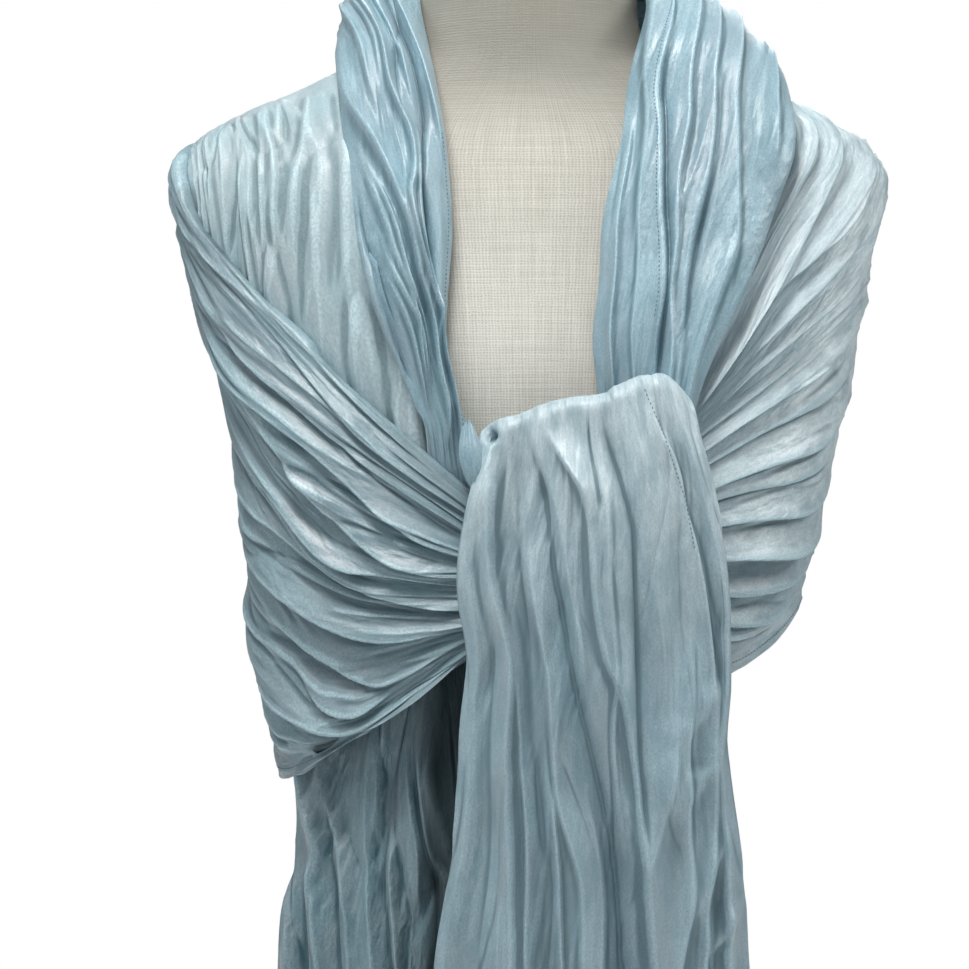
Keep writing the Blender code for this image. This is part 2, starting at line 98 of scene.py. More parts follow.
room = bpy.data.worlds.new("room")
bpy.context.scene.world = room
room.use_nodes = True
walls = room.node_tree
walls.nodes.clear()
way = node(walls, "ShaderNodeTexCoord")
upward = node(walls, "ShaderNodeSeparateXYZ")
ceiling = node(walls, "ShaderNodeMapRange",
               **{"From Min": -0.3, "From Max": 0.9, "To Min": 0.04, "To Max": 0.38})
fill = node(walls, "ShaderNodeBackground", Color=(0.93, 0.97, 1.0, 1))
white = node(walls, "ShaderNodeBackground", Color=(1, 1, 1, 1), Strength=1.0)
seen = node(walls, "ShaderNodeLightPath")
either = node(walls, "ShaderNodeMixShader")
whole_room = node(walls, "ShaderNodeOutputWorld")
walls.links.new(way.outputs["Generated"], upward.inputs[0])
walls.links.new(upward.outputs["Z"], ceiling.inputs["Value"])
walls.links.new(ceiling.outputs[0], fill.inputs["Strength"])
walls.links.new(seen.outputs["Is Camera Ray"], either.inputs["Fac"])
walls.links.new(fill.outputs[0], either.inputs[1])
walls.links.new(white.outputs[0], either.inputs[2])
walls.links.new(either.outputs[0], whole_room.inputs["Surface"])

# Floor: a pale round sheet under the stand that runs out into the white of the room.
# A soft glow begins 0.7 m from the stand, so that no edge shows.
floor_colour = (0.90, 0.90, 0.89, 1)


def ranged(tree, value, low, high, start=0.0, end=1.0):
    """A shader value brought from one range to another, smoothly and kept inside it."""
    made = node(tree, "ShaderNodeMapRange", interpolation_type="SMOOTHSTEP",
                **{"From Min": low, "From Max": high, "To Min": start, "To Max": end})
    tree.links.new(value, made.inputs["Value"])
    return made.outputs[0]


def mixed(tree, share, first, second):
    """A colour between two, by a share from 0 to 1."""
    made = node(tree, "ShaderNodeMix", data_type="RGBA")
    for socket, value in ((0, share), (6, first), (7, second)):
        if isinstance(value, (int, float, tuple)):
            made.inputs[socket].default_value = value
        else:
            tree.links.new(value, made.inputs[socket])
    return made.outputs[2]


bpy.ops.mesh.primitive_circle_add(vertices=96, radius=3.0, fill_type="NGON", location=(0, 0, -0.0006))
floor = bpy.context.object
floor.name = "floor"
floor_paint = bpy.data.materials.new("floor_paint")
floor_paint.use_nodes = True
coat = floor_paint.node_tree
paint = coat.nodes["Principled BSDF"]
paint.inputs["Roughness"].default_value = 0.9
paint.inputs["Specular IOR Level"].default_value = 0.0
paint.inputs["Emission Color"].default_value = (1, 1, 1, 1)
where = node(coat, "ShaderNodeTexCoord")
from_stand = node(coat, "ShaderNodeVectorMath", operation="LENGTH")
coat.links.new(where.outputs["Object"], from_stand.inputs[0])
outward = ranged(coat, from_stand.outputs["Value"], 0.7, 2.1)
coat.links.new(outward, paint.inputs["Emission Strength"])
coat.links.new(mixed(coat, outward, floor_colour, (0, 0, 0, 1)), paint.inputs["Base Color"])
floor.data.materials.append(floor_paint)

# Torso of the dress form: a moulded shell padded thinly and covered in cream linen.
# The linen is a plain weave of slubby threads about 1.6 mm apart, pulled smooth.
form_sections = [
    # height, half width, depth in front, depth behind
    (0.317, 0.147, 0.078, 0.102),
    (0.345, 0.151, 0.085, 0.110),
    (0.380, 0.144, 0.087, 0.112),
    (0.407, 0.134, 0.086, 0.108),
    (0.450, 0.127, 0.082, 0.097),
    (0.500, 0.120, 0.078, 0.086),
    (0.560, 0.113, 0.076, 0.079),
    (0.620, 0.119, 0.083, 0.083),
    (0.680, 0.133, 0.098, 0.090),
    (0.720, 0.142, 0.104, 0.094),
    (0.760, 0.149, 0.102, 0.096),
    (0.800, 0.158, 0.093, 0.097),
    (0.840, 0.169, 0.082, 0.093),
    (0.870, 0.178, 0.073, 0.086),
    (0.892, 0.180, 0.064, 0.077),
    (0.908, 0.165, 0.056, 0.067),
    (0.922, 0.137, 0.051, 0.060),
    (0.935, 0.106, 0.049, 0.055),
    (0.950, 0.078, 0.050, 0.051),
    (0.970, 0.069, 0.052, 0.049),
    (1.000, 0.066, 0.052, 0.048),
    (1.037, 0.0620, 0.051, 0.047),
]
form_bottom = 0.317
form_top = 1.037
form_edge = 0.004
form_girth = 0.13  # radius by which its flat coordinates run round


def between(rows, at):
    """Columns of a table of sizes between its rows, eased along its first column."""
    rows = np.asarray(rows, float)
    places = rows[:, 0]
    values = rows[:, 1:]
    slopes = np.gradient(values, places, axis=0)
    at = np.clip(np.asarray(at, float), places[0], places[-1])
    low = np.clip(np.searchsorted(places, at, side="right") - 1, 0, len(places) - 2)
    span = (places[low + 1] - places[low])[..., None]
    part = (at[..., None] - places[low][..., None]) / span
    square = part * part
    cube = square * part
    return (
        (2 * cube - 3 * square + 1) * values[low]
        + (cube - 2 * square + part) * span * slopes[low]
        + (3 * square - 2 * cube) * values[low + 1]
        + (cube - square) * span * slopes[low + 1]
    )


def sizes_at(rows, at):
    """Each column of a table of sizes by itself, at places along its first column."""
    return np.moveaxis(between(rows, at), -1, 0)


def together(*values):
    """Values that run along or across a piece, joined into one row for every place of it."""
    return np.stack(np.broadcast_arrays(*values), -1)


def grid_piece(name, points, flat, material, crest=None, painted_light_and_shade=None):
    """A piece woven from a grid of points, with flat coordinates in metres and, at each point,
    how far it stands out of its creases and a value of painted light, which gives painted shade where it is
    below nothing."""
    rows, columns = points.shape[:2]
    index = np.arange(rows * columns).reshape(rows, columns)
    quads = np.stack([index[:-1, :-1], index[:-1, 1:], index[1:, 1:], index[1:, :-1]], -1)
    quads = quads.reshape(-1, 4)
    mesh = bpy.data.meshes.new(name)
    mesh.from_pydata(points.reshape(-1, 3), [], quads)
    layer = mesh.uv_layers.new(name="flat")
    layer.data.foreach_set("uv", flat.reshape(-1, 2)[quads.ravel()].astype(np.float32).ravel())
    for label, values in (("crest", crest), ("painted_light_and_shade", painted_light_and_shade)):
        if values is not None:
            everywhere = np.broadcast_to(values, (rows, columns)).astype(np.float32)
            mesh.attributes.new(label, "FLOAT", "POINT").data.foreach_set("value", everywhere.ravel())
    mesh.shade_smooth()
    mesh.materials.append(material)
    made = placed(name, mesh)
    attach(made, "root")
    return made


def welded(piece, apart, close_ends=False):
    """Joins the seam of a round piece and, where asked, closes its open ends."""
    sewn = bmesh.new()
    sewn.from_mesh(piece.data)
    bmesh.ops.remove_doubles(sewn, verts=sewn.verts, dist=apart)
    if close_ends:
        rims = [edge for edge in sewn.edges if edge.is_boundary]
        bmesh.ops.holes_fill(sewn, edges=rims, sides=0)
    bmesh.ops.recalc_face_normals(sewn, faces=sewn.faces)
    sewn.to_mesh(piece.data)
    sewn.free()


def effect(name, **numbers):
    """A node group that takes flat coordinates and, by name, numbers. Its results are added when made."""
    group = bpy.data.node_groups.new(name, "ShaderNodeTree")
    group.interface.new_socket("Vector", in_out="INPUT", socket_type="NodeSocketVector")
    for label, start in numbers.items():
        taken_number = group.interface.new_socket(label, in_out="INPUT", socket_type="NodeSocketFloat")
        taken_number.default_value = start
    return group, group.nodes.new("NodeGroupInput").outputs


def results(group, **values):
    """Puts the results of an effect out under their names."""
    for label in values:
        group.interface.new_socket(label, in_out="OUTPUT", socket_type="NodeSocketFloat")
    given = group.nodes.new("NodeGroupOutput")
    for label, value in values.items():
        group.links.new(value, given.inputs[label])


def stretched_noise(tree, vector, along, across, detail, roughness=0.5):
    """Noise with so many waves a metre along and across the cloth."""
    scaled = node(tree, "ShaderNodeVectorMath", operation="MULTIPLY")
    scaled.inputs[1].default_value = (along, across, 1.0)
    tree.links.new(vector, scaled.inputs[0])
    noise = node(tree, "ShaderNodeTexNoise", Scale=1.0, Detail=detail, Roughness=roughness)
    tree.links.new(scaled.outputs[0], noise.inputs["Vector"])
    return noise.outputs["Fac"]


def maths(tree, operation, *values):
    """The result of one step of reckoning on numbers or on other results."""
    made = node(tree, "ShaderNodeMath", operation=operation)
    for place, value in enumerate(values):
        if isinstance(value, (int, float)):
            made.inputs[place].default_value = value
        else:
            tree.links.new(value, made.inputs[place])
    return made.outputs[0]


def finish(name, group, **constants):
    """A new material with an effect laid on the piece's flat coordinates, and its shader's constants."""
    made = bpy.data.materials.new(name)
    made.use_nodes = True
    tree = made.node_tree
    shader = tree.nodes["Principled BSDF"]
    for label, value in constants.items():
        shader.inputs[label.replace("_", " ")].default_value = value
    flat_place = node(tree, "ShaderNodeUVMap", uv_map="flat")
    pattern = node(tree, "ShaderNodeGroup", node_tree=group)
    tree.links.new(flat_place.outputs[0], pattern.inputs["Vector"])
    return made, tree, shader, flat_place.outputs[0], pattern.outputs


def relief(tree, shader, height, strength, distance):
    """Gives a finish its fine relief."""
    raised = node(tree, "ShaderNodeBump", Strength=strength, Distance=distance)
    tree.links.new(height, raised.inputs["Height"])
    tree.links.new(raised.outputs["Normal"], shader.inputs["Normal"])


# Linen weave: threads both ways, thick and thin along their length, with a few dark flecks
weave, taken = effect("linen_weave", Threads=640.0)
split = node(weave, "ShaderNodeSeparateXYZ")
weave.links.new(taken["Vector"], split.inputs[0])
sway = maths(weave, "MULTIPLY", stretched_noise(weave, taken["Vector"], 230, 230, 3, 0.6), 0.0018)


def threads_over(axis):
    """Threads side by side along one axis, from 0 between them to 1 on top."""
    place = maths(weave, "MULTIPLY", maths(weave, "ADD", split.outputs[axis], sway), taken["Threads"])
    wave = maths(weave, "SINE", maths(weave, "MULTIPLY", place, 2 * math.pi))
    return maths(weave, "MULTIPLY_ADD", wave, 0.5, 0.5)


over = maths(weave, "MULTIPLY", threads_over(0), threads_over(1))
warp_slub = stretched_noise(weave, taken["Vector"], 620, 26, 2)
weft_slub = stretched_noise(weave, taken["Vector"], 22, 620, 2)
slub = maths(weave, "MULTIPLY", maths(weave, "ADD", warp_slub, weft_slub), 0.5)
fleck_noise = stretched_noise(weave, taken["Vector"], 420, 420, 1)
results(
    weave,
    Height=maths(weave, "MULTIPLY_ADD", over, -0.55, maths(weave, "ADD", slub, 0.25)),
    Fleck=maths(weave, "GREATER_THAN", fleck_noise, 0.79),
)

linen, tree, shader, flat_place, woven = finish(
    "cream_linen", weave, Roughness=0.85, Specular_IOR_Level=0.25, Sheen_Weight=0.15
)
thread = mixed(tree, woven["Height"], (0.33, 0.31, 0.27, 1), (0.78, 0.76, 0.69, 1))
# Lighter thread colours, for the painted light low on the chest
painted_light_thread = mixed(tree, woven["Height"], (0.46, 0.435, 0.38, 1), (0.98, 0.96, 0.89, 1))
aged = stretched_noise(tree, flat_place, 14, 14, 3)
thread = mixed(tree, maths(tree, "MULTIPLY", aged, 0.22), thread, (0.58, 0.55, 0.48, 1))
thread = mixed(tree, maths(tree, "MULTIPLY", woven["Fleck"], 0.5), thread, (0.30, 0.25, 0.18, 1))
up_form = node(tree, "ShaderNodeSeparateXYZ")
tree.links.new(flat_place, up_form.inputs[0])
# Painted shade: the linen is painted darker toward the top of the neck, from 0.86 m up
painted_neck_shade = ranged(tree, up_form.outputs[1], 0.86, 1.02, 0.0, 0.90)
thread = mixed(tree, painted_neck_shade, thread, (0.27, 0.26, 0.22, 1))
# Painted light: the linen is painted lighter low on the chest, where the collar and knot shade it
painted_chest_light = ranged(tree, up_form.outputs[1], 0.885, 0.785, 0.0, 0.80)
thread = mixed(tree, painted_chest_light, thread, painted_light_thread)
tree.links.new(thread, shader.inputs["Base Color"])
relief(tree, shader, woven["Height"], 0.35, 0.0006)

around = np.linspace(0, 2 * math.pi, 129)[None, :]
quarter = np.linspace(0, math.pi / 2, 6)
level = np.concatenate([
    form_bottom + form_edge * (1 - np.cos(quarter))[:-1],
    np.linspace(form_bottom + form_edge, form_top - form_edge, 100),
    form_top - form_edge * (1 - np.sin(quarter))[1:],
])[:, None]
wide, front, back = sizes_at(form_sections, level)
from_edge = np.minimum(level - form_bottom, form_top - level)
inside_edge = np.clip(form_edge - from_edge, 0, None)
rounded = form_edge - np.sqrt(np.clip(form_edge**2 - inside_edge**2, 0, None))
depth = np.where(np.sin(around) < 0, front, back)
skin = together((wide - rounded) * np.cos(around), (depth - rounded) * np.sin(around), level)
torso_cover = grid_piece("torso_cover", skin, together(around * form_girth, level), linen)
welded(torso_cover, 0.00005, close_ends=True)
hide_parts("torso")

# Stand: a round steel foot and a steel tube with a flange at each end, all brushed.
# The foot and flanges were brushed on the lathe, so their marks run round.
foot_radius = 0.170
foot_thick = 0.014
foot_round = 0.004
flange_radius = 0.034
flange_thick = 0.006
tube_radius = 0.0125
tube_round = 0.004
sharp_round = 0.001
middle = 0.00001  # radius at which a turned face closes
joint_gap = 0.0003


def run_along(path):
    """Distance from the start of a path to each of its places."""
    return np.concatenate([[0], np.cumsum(np.linalg.norm(np.diff(path, axis=0), axis=1))])


def lathed(name, profile, material, node_name, grain_across=False):
    """A round piece turned from radius and height pairs. Its marks run round, or its grain goes across."""
    turns_round = np.linspace(0, 2 * math.pi, 145)[None, :]
    outline = np.array(profile, float)
    radius, level = outline[:, :1], outline[:, 1:]
    points = together(radius * np.cos(turns_round), radius * np.sin(turns_round), level)
    flat = together(turns_round * 0.1, run_along(outline)[:, None])
    if grain_across:
        flat = points[..., :2]
    piece = grid_piece(name, points[::-1], flat[::-1], material)
    welded(piece, 0.000005)
    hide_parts(node_name)


def rounded_corner(radius, level, size, start, end):
    """Places round a quarter corner: its centre, its size and its first and last angle in degrees."""
    angles = np.radians(np.linspace(start, end, 9))
    return [(radius + size * math.cos(angle), level + size * math.sin(angle)) for angle in angles]


brushing, taken = effect("brushed_marks")
results(
    brushing,
    Mark=stretched_noise(brushing, taken["Vector"], 12, 2600, 2, 0.7),
    Smudge=stretched_noise(brushing, taken["Vector"], 30, 24, 3),
)
steel, tree, shader, _, marks = finish("brushed_steel", brushing, Metallic=1.0, Anisotropic=0.5)
steel_colour = mixed(tree, marks["Mark"], (0.46, 0.46, 0.47, 1), (0.66, 0.66, 0.66, 1))
tree.links.new(steel_colour, shader.inputs["Base Color"])
worn = maths(tree, "MULTIPLY_ADD", marks["Smudge"], 0.22, 0.24)
tree.links.new(maths(tree, "MULTIPLY_ADD", marks["Mark"], 0.10, worn), shader.inputs["Roughness"])
relief(tree, shader, marks["Mark"], 0.25, 0.0001)

lathed("foot_plate", [(middle, 0.0), (foot_radius - sharp_round, 0.0)]
       + rounded_corner(foot_radius - sharp_round, sharp_round, sharp_round, -90, 0)
       + rounded_corner(foot_radius - foot_round, foot_thick - foot_round, foot_round, 0, 90)
       + [(0.12, foot_thick), (0.08, foot_thick), (middle, foot_thick)], steel, "base")
flange_low = foot_thick + flange_thick
flange_high = form_bottom - flange_thick
tube_foot = flange_low + flange_thick
tube_top = flange_high - flange_thick
lathed("stand_tube", [(middle, foot_thick + joint_gap), (flange_radius, foot_thick + joint_gap)]
       + rounded_corner(flange_radius - sharp_round, flange_low - sharp_round, sharp_round, 0, 90)
       + [(tube_radius + tube_round, tube_foot)]
       + rounded_corner(tube_radius + tube_round, tube_foot + tube_round, tube_round, 270, 180)
       + [(tube_radius, tube_top), (flange_radius - sharp_round, flange_high)]
       + rounded_corner(flange_radius - sharp_round, flange_high + sharp_round, sharp_round, -90, 0)
       + [(flange_radius, form_bottom - joint_gap), (middle, form_bottom - joint_gap)],
       steel, "pole")

# Neck cap: a turned disc of oiled beech that closes the neck.
# Its grain runs straight across, with fine dark pores.
cap_radius = 0.050
cap_thick = 0.013
cap_round = 0.004
cap_low = form_top + joint_gap
cap_high = form_top + cap_thick
timber, taken = effect("wood_grain")
wavy = stretched_noise(timber, taken["Vector"], 9, 60, 3)
results(
    timber,
    Ring=maths(timber, "FRACT", maths(timber, "MULTIPLY", wavy, 9.0)),
    Pore=stretched_noise(timber, taken["Vector"], 180, 2200, 2),
)
beech, tree, shader, _, grown = finish("oiled_beech", timber)
wood_colour = mixed(tree, grown["Ring"], (0.36, 0.20, 0.10, 1), (0.24, 0.125, 0.06, 1))
pores = maths(tree, "MULTIPLY", maths(tree, "GREATER_THAN", grown["Pore"], 0.62), 0.5)
tree.links.new(mixed(tree, pores, wood_colour, (0.12, 0.06, 0.03, 1)), shader.inputs["Base Color"])
tree.links.new(maths(tree, "MULTIPLY_ADD", grown["Pore"], 0.25, 0.33), shader.inputs["Roughness"])
relief(tree, shader, grown["Pore"], 0.3, 0.0002)
lathed("cap", [(middle, cap_low), (cap_radius - cap_round, cap_low)]
       + rounded_corner(cap_radius - cap_round, cap_low + cap_round, cap_round, -90, 0)
       + rounded_corner(cap_radius - cap_round, cap_high - cap_round, cap_round, 0, 90)
       + [(0.02, cap_high), (middle, cap_high)], beech, "neck_cap", grain_across=True)

# Shawl over the back and arms: one length of light blue satin, pleated by twisting and steaming it.
# It lies round the shoulders, hangs in a swag over each arm and is drawn together at the knot.
# Its top is a folded edge and its lower edge has a narrow hem.
worn_sections = [
    # height, half width left, right, depth in front, behind
    (0.450, 0.142, 0.150, 0.110, 0.120),
    (0.525, 0.146, 0.152, 0.113, 0.120),
    (0.580, 0.157, 0.156, 0.115, 0.119),
    (0.610, 0.163, 0.161, 0.117, 0.118),
    (0.650, 0.166, 0.168, 0.119, 0.117),
    (0.700, 0.169, 0.179, 0.121, 0.116),
    (0.750, 0.178, 0.191, 0.122, 0.115),
    (0.800, 0.194, 0.200, 0.117, 0.113),
    (0.840, 0.206, 0.208, 0.108, 0.109),
    (0.870, 0.2135, 0.2135, 0.099, 0.103),
    (0.890, 0.2125, 0.2125, 0.090, 0.095),
    (0.905, 0.202, 0.202, 0.081, 0.087),
    (0.920, 0.178, 0.177, 0.072, 0.078),
    (0.935, 0.143, 0.148, 0.064, 0.070),
    (0.950, 0.112, 0.124, 0.060, 0.065),
    (0.970, 0.088, 0.094, 0.059, 0.062),
    (1.000, 0.074, 0.078, 0.058, 0.060),
]
# Left swag, a row per main fold: height at the side, flank, belly and knot
swag_left_turns = (-90, -61, -36, -8)
swag_left = [
    (0.930, 0.842, 0.7625, 0.6860),
    (0.850, 0.777, 0.719, 0.6630),
    (0.781, 0.720, 0.665, 0.6460),
    (0.690, 0.655, 0.6285, 0.6260),
    (0.636, 0.585, 0.572, 0.6170),
    (0.531, 0.534, 0.5605, 0.6100),
]
# Right swag, a row per main fold: height at the side, flank, belly, fall edge and knot
swag_right_turns = (90, 60, 45, 30, 17)
swag_right = [
    (0.9550, 0.940, 0.895, 0.790, 0.712),
    (0.9255, 0.889, 0.835, 0.756, 0.708),
    (0.9075, 0.838, 0.801, 0.746, 0.703),
    (0.842, 0.805, 0.772, 0.735, 0.698),
    (0.793, 0.766, 0.745, 0.717, 0.690),
    (0.721, 0.705, 0.697, 0.686, 0.673),
    (0.6700, 0.653, 0.648, 0.648, 0.645),
    (0.640, 0.604, 0.591, 0.598, 0.618),
]
# Shoulder panel, a row per fold: half width at the shoulder line, then where its hidden lower end lies
panel_folds = [
    (0.098, -0.056, 0.712),
    (0.135, -0.100, 0.728),
    (0.163, -0.140, 0.762),
    (0.182, -0.160, 0.785),
    (0.196, -0.177, 0.790),
    (0.2045, -0.188, 0.792),
]
nape_top = 0.968
nape_hem = 0.492
cloth_width = 0.49
panel_share = 0.28  # part of the cloth's width that is drawn over the left shoulder in front
swag_lift = 0.009  # how far the left swag stands off the cloth below it
level_start = 74  # degrees from the front past which each fold runs level round the side
girth = 0.17  # radius by which the wrap's flat coordinates run round


def rising(value, start, end):
    """0 up to a start and 1 past an end, soft at both. The end may lie below the start."""
    part = np.clip((value - start) / (end - start), 0, 1)
    return part * part * (3 - 2 * part)


def spaced(rows):
    """The same rows with their place from 0 to 1 in front."""
    last = len(rows) - 1
    return [(place / last,) + tuple(row) for place, row in enumerate(rows)]


def unit(vectors):
    """The same directions, each with a length of one."""
    return vectors / np.maximum(np.linalg.norm(vectors, axis=-1, keepdims=True), 1e-9)


def worn_place(turn, height):
    """A point of the worn cloth: degrees from the front, negative to the left."""
    left, right, front, back = sizes_at(worn_sections, height)
    angle = np.radians(turn)
    wide = np.where(np.sin(angle) < 0, left, right)
    deep = np.where(np.cos(angle) > 0, front, back)
    return together(wide * np.sin(angle), -deep * np.cos(angle), height)


def straight_out(turn, height):
    """Straight out of the worn cloth at a point."""
    sideways = worn_place(turn + 0.5, height) - worn_place(turn - 0.5, height)
    upward = worn_place(turn, height + 0.001) - worn_place(turn, height - 0.001)
    return unit(np.cross(sideways, upward))


def shoulder_height(wide):
    """Height of the left shoulder line at a half width."""
    heights = np.linspace(0.872, 1.0, 70)
    widths = sizes_at(worn_sections, heights)[0]
    return np.interp(wide, widths[::-1], heights[::-1])


def swag_heights(table, turns, across, turn):
    """Height of the cloth at each place across its folds and each turn from the front."""
    sign = 1 if turns[-1] > turns[0] else -1
    order = [sign * value for value in turns]
    size = np.abs(turn)
    part = np.clip((size - level_start) / (90 - level_start), 0, 1)
    levelled = level_start + (90 - level_start) * (part - part**2 / 2)
    toward = sign * np.sign(turn) * np.where(size > level_start, levelled, size)
    rows = between(spaced(table), across)
    return np.stack([between(np.column_stack([order, row]), toward)[:, 0] for row in rows], 0)


def uneven_waves(along, across, seed):
    """Smooth uneven noise from about -1 to 1 over two lengths, each counted in its own waves."""
    slopes = np.random.default_rng(seed).uniform(0, 2 * math.pi, (64, 64))
    row = np.floor(along).astype(int)
    column = np.floor(across).astype(int)
    part_row = along - row
    part_column = across - column

    def corner(down, over):
        angle = slopes[(row + down) % 64, (column + over) % 64]
        return np.cos(angle) * (part_row - down) + np.sin(angle) * (part_column - over)

    ease_row = part_row**3 * (part_row * (6 * part_row - 15) + 10)
    ease_column = part_column**3 * (part_column * (6 * part_column - 15) + 10)
    near = corner(0, 0) * (1 - ease_row) + corner(1, 0) * ease_row
    far = corner(0, 1) * (1 - ease_row) + corner(1, 1) * ease_row
    return 1.5 * (near * (1 - ease_column) + far * ease_column)


def ridged(along, across, sharp, seed):
    """Long ridges, as high as 1, where smooth noise passes through nothing. A sharper one is narrower."""
    return np.clip(1 - sharp * np.abs(uneven_waves(along, across, seed)), 0, 1)


def crinkles(along, across, seed, apart=0.020, high=0.0032, swell=0.8, crisp=0.40):
    """Height of the steamed-in pleats: long uneven ridges that wander, split and join. They lie so far
    apart and stand so high, with so much broad swelling and so deep the crisp creases between them."""
    place = across + 0.005 * uneven_waves(along / 0.11, across / 0.06, seed + 1)
    broad = ridged(along / 0.15, place / apart, 1.7, seed + 2)
    creased = ridged(along / 0.12, place / (1.3 * apart), 6, seed + 3)
    narrow = ridged(along / 0.09, place / (0.5 * apart), 2.2, seed + 4)
    fine = ridged(along / 0.040, (place + 0.12 * along) / (0.26 * apart), 2.4, seed + 5)
    patch = np.clip(0.45 + 0.9 * uneven_waves(along / 0.09, across / 0.05, seed + 6), 0.08, 1)
    other = np.clip(0.35 + 0.9 * uneven_waves(along / 0.05, across / 0.04, seed + 8), 0.04, 1)
    sway = uneven_waves(along / 0.15, across / 0.045, seed + 7)
    small = 0.50 * patch * narrow + 0.22 * other * fine
    return high * (broad**1.4 - crisp * creased + small + swell * sway - 0.35)


def hollows(raised, step):
    """How far each place stands above the cloth 1.3 mm about it, from 0 in a crease to 1 on a crest."""
    reach = max(2, int(round(0.0013 / step)))
    blurred = raised
    for _ in range(2):
        padded = np.pad(blurred, ((reach, reach), (0, 0)), mode="edge")
        total = np.cumsum(np.pad(padded, ((1, 0), (0, 0))), axis=0)
        blurred = (total[2 * reach + 1:] - total[:-2 * reach - 1]) / (2 * reach + 1)
    return np.clip(0.5 + (raised - blurred) / 0.0011, 0, 1)


def tucks(creases, along, across, scale, most_fade, sharp=1.1, rounded=0.10):
    """Height of the main folds: each rises to a rounded crest, drops away below it and fades at its ends.
    A scale brings places across to metres."""
    raised = np.zeros(np.broadcast(along, across).shape)
    for stations, rise, drop, high in creases:
        places = np.array(sorted(stations), float)
        start, end = places[0, 0], places[-1, 0]
        fade = min(0.4 * (end - start), most_fade)
        crest = between(places, along)[..., 0]
        present = rising(along, start, start + fade) * rising(along, end, end - fade)
        gap = (across - crest) * scale
        away = gap / np.where(gap < 0, rise, drop)
        away = np.sqrt(away**2 + rounded) - math.sqrt(rounded)
        raised = raised + high * present * np.exp(-away**sharp)
    return raised


# Satin: warp-faced weave of fine bright threads that run along the pleats, crushed into soft patches.
# The group gives streaks, threads, patches, tone and crushed facets from flat metres along and across.
fibres, taken = effect("satin_fibres")
streak = stretched_noise(fibres, taken["Vector"], 130, 340, 3, 0.6)
thread = stretched_noise(fibres, taken["Vector"], 620, 900, 2, 0.7)
patch = stretched_noise(fibres, taken["Vector"], 32, 60, 3, 0.6)
tone = stretched_noise(fibres, taken["Vector"], 14, 26, 2, 0.5)
# Crushed cloth: hollow facets that meet in thin crisp ridges, 13 and 42 a metre, along lines that bend
bending = node(fibres, "ShaderNodeTexNoise", Scale=30, Detail=3)
bent = node(fibres, "ShaderNodeVectorMath", operation="MULTIPLY_ADD")
stretched = node(fibres, "ShaderNodeVectorMath", operation="MULTIPLY")
facets = node(fibres, "ShaderNodeTexVoronoi", feature="F1", Scale=1)
bent.inputs[1].default_value = (0.030, 0.014, 0)
stretched.inputs[1].default_value = (13, 42, 1)
fibres.links.new(taken["Vector"], bending.inputs["Vector"])
fibres.links.new(bending.outputs["Color"], bent.inputs[0])
fibres.links.new(taken["Vector"], bent.inputs[2])
fibres.links.new(bent.outputs[0], stretched.inputs[0])
fibres.links.new(stretched.outputs[0], facets.inputs["Vector"])
where_crushed = maths(fibres, "MULTIPLY_ADD", patch, 1.6, -0.30)
crushed = maths(fibres, "MULTIPLY", facets.outputs["Distance"], where_crushed)
grain = maths(fibres, "MULTIPLY_ADD", thread, 0.42, maths(fibres, "MULTIPLY", streak, 0.20))
results(fibres, Streak=streak, Thread=thread, Patch=patch, Tone=tone, Crushed=crushed, Height=grain)


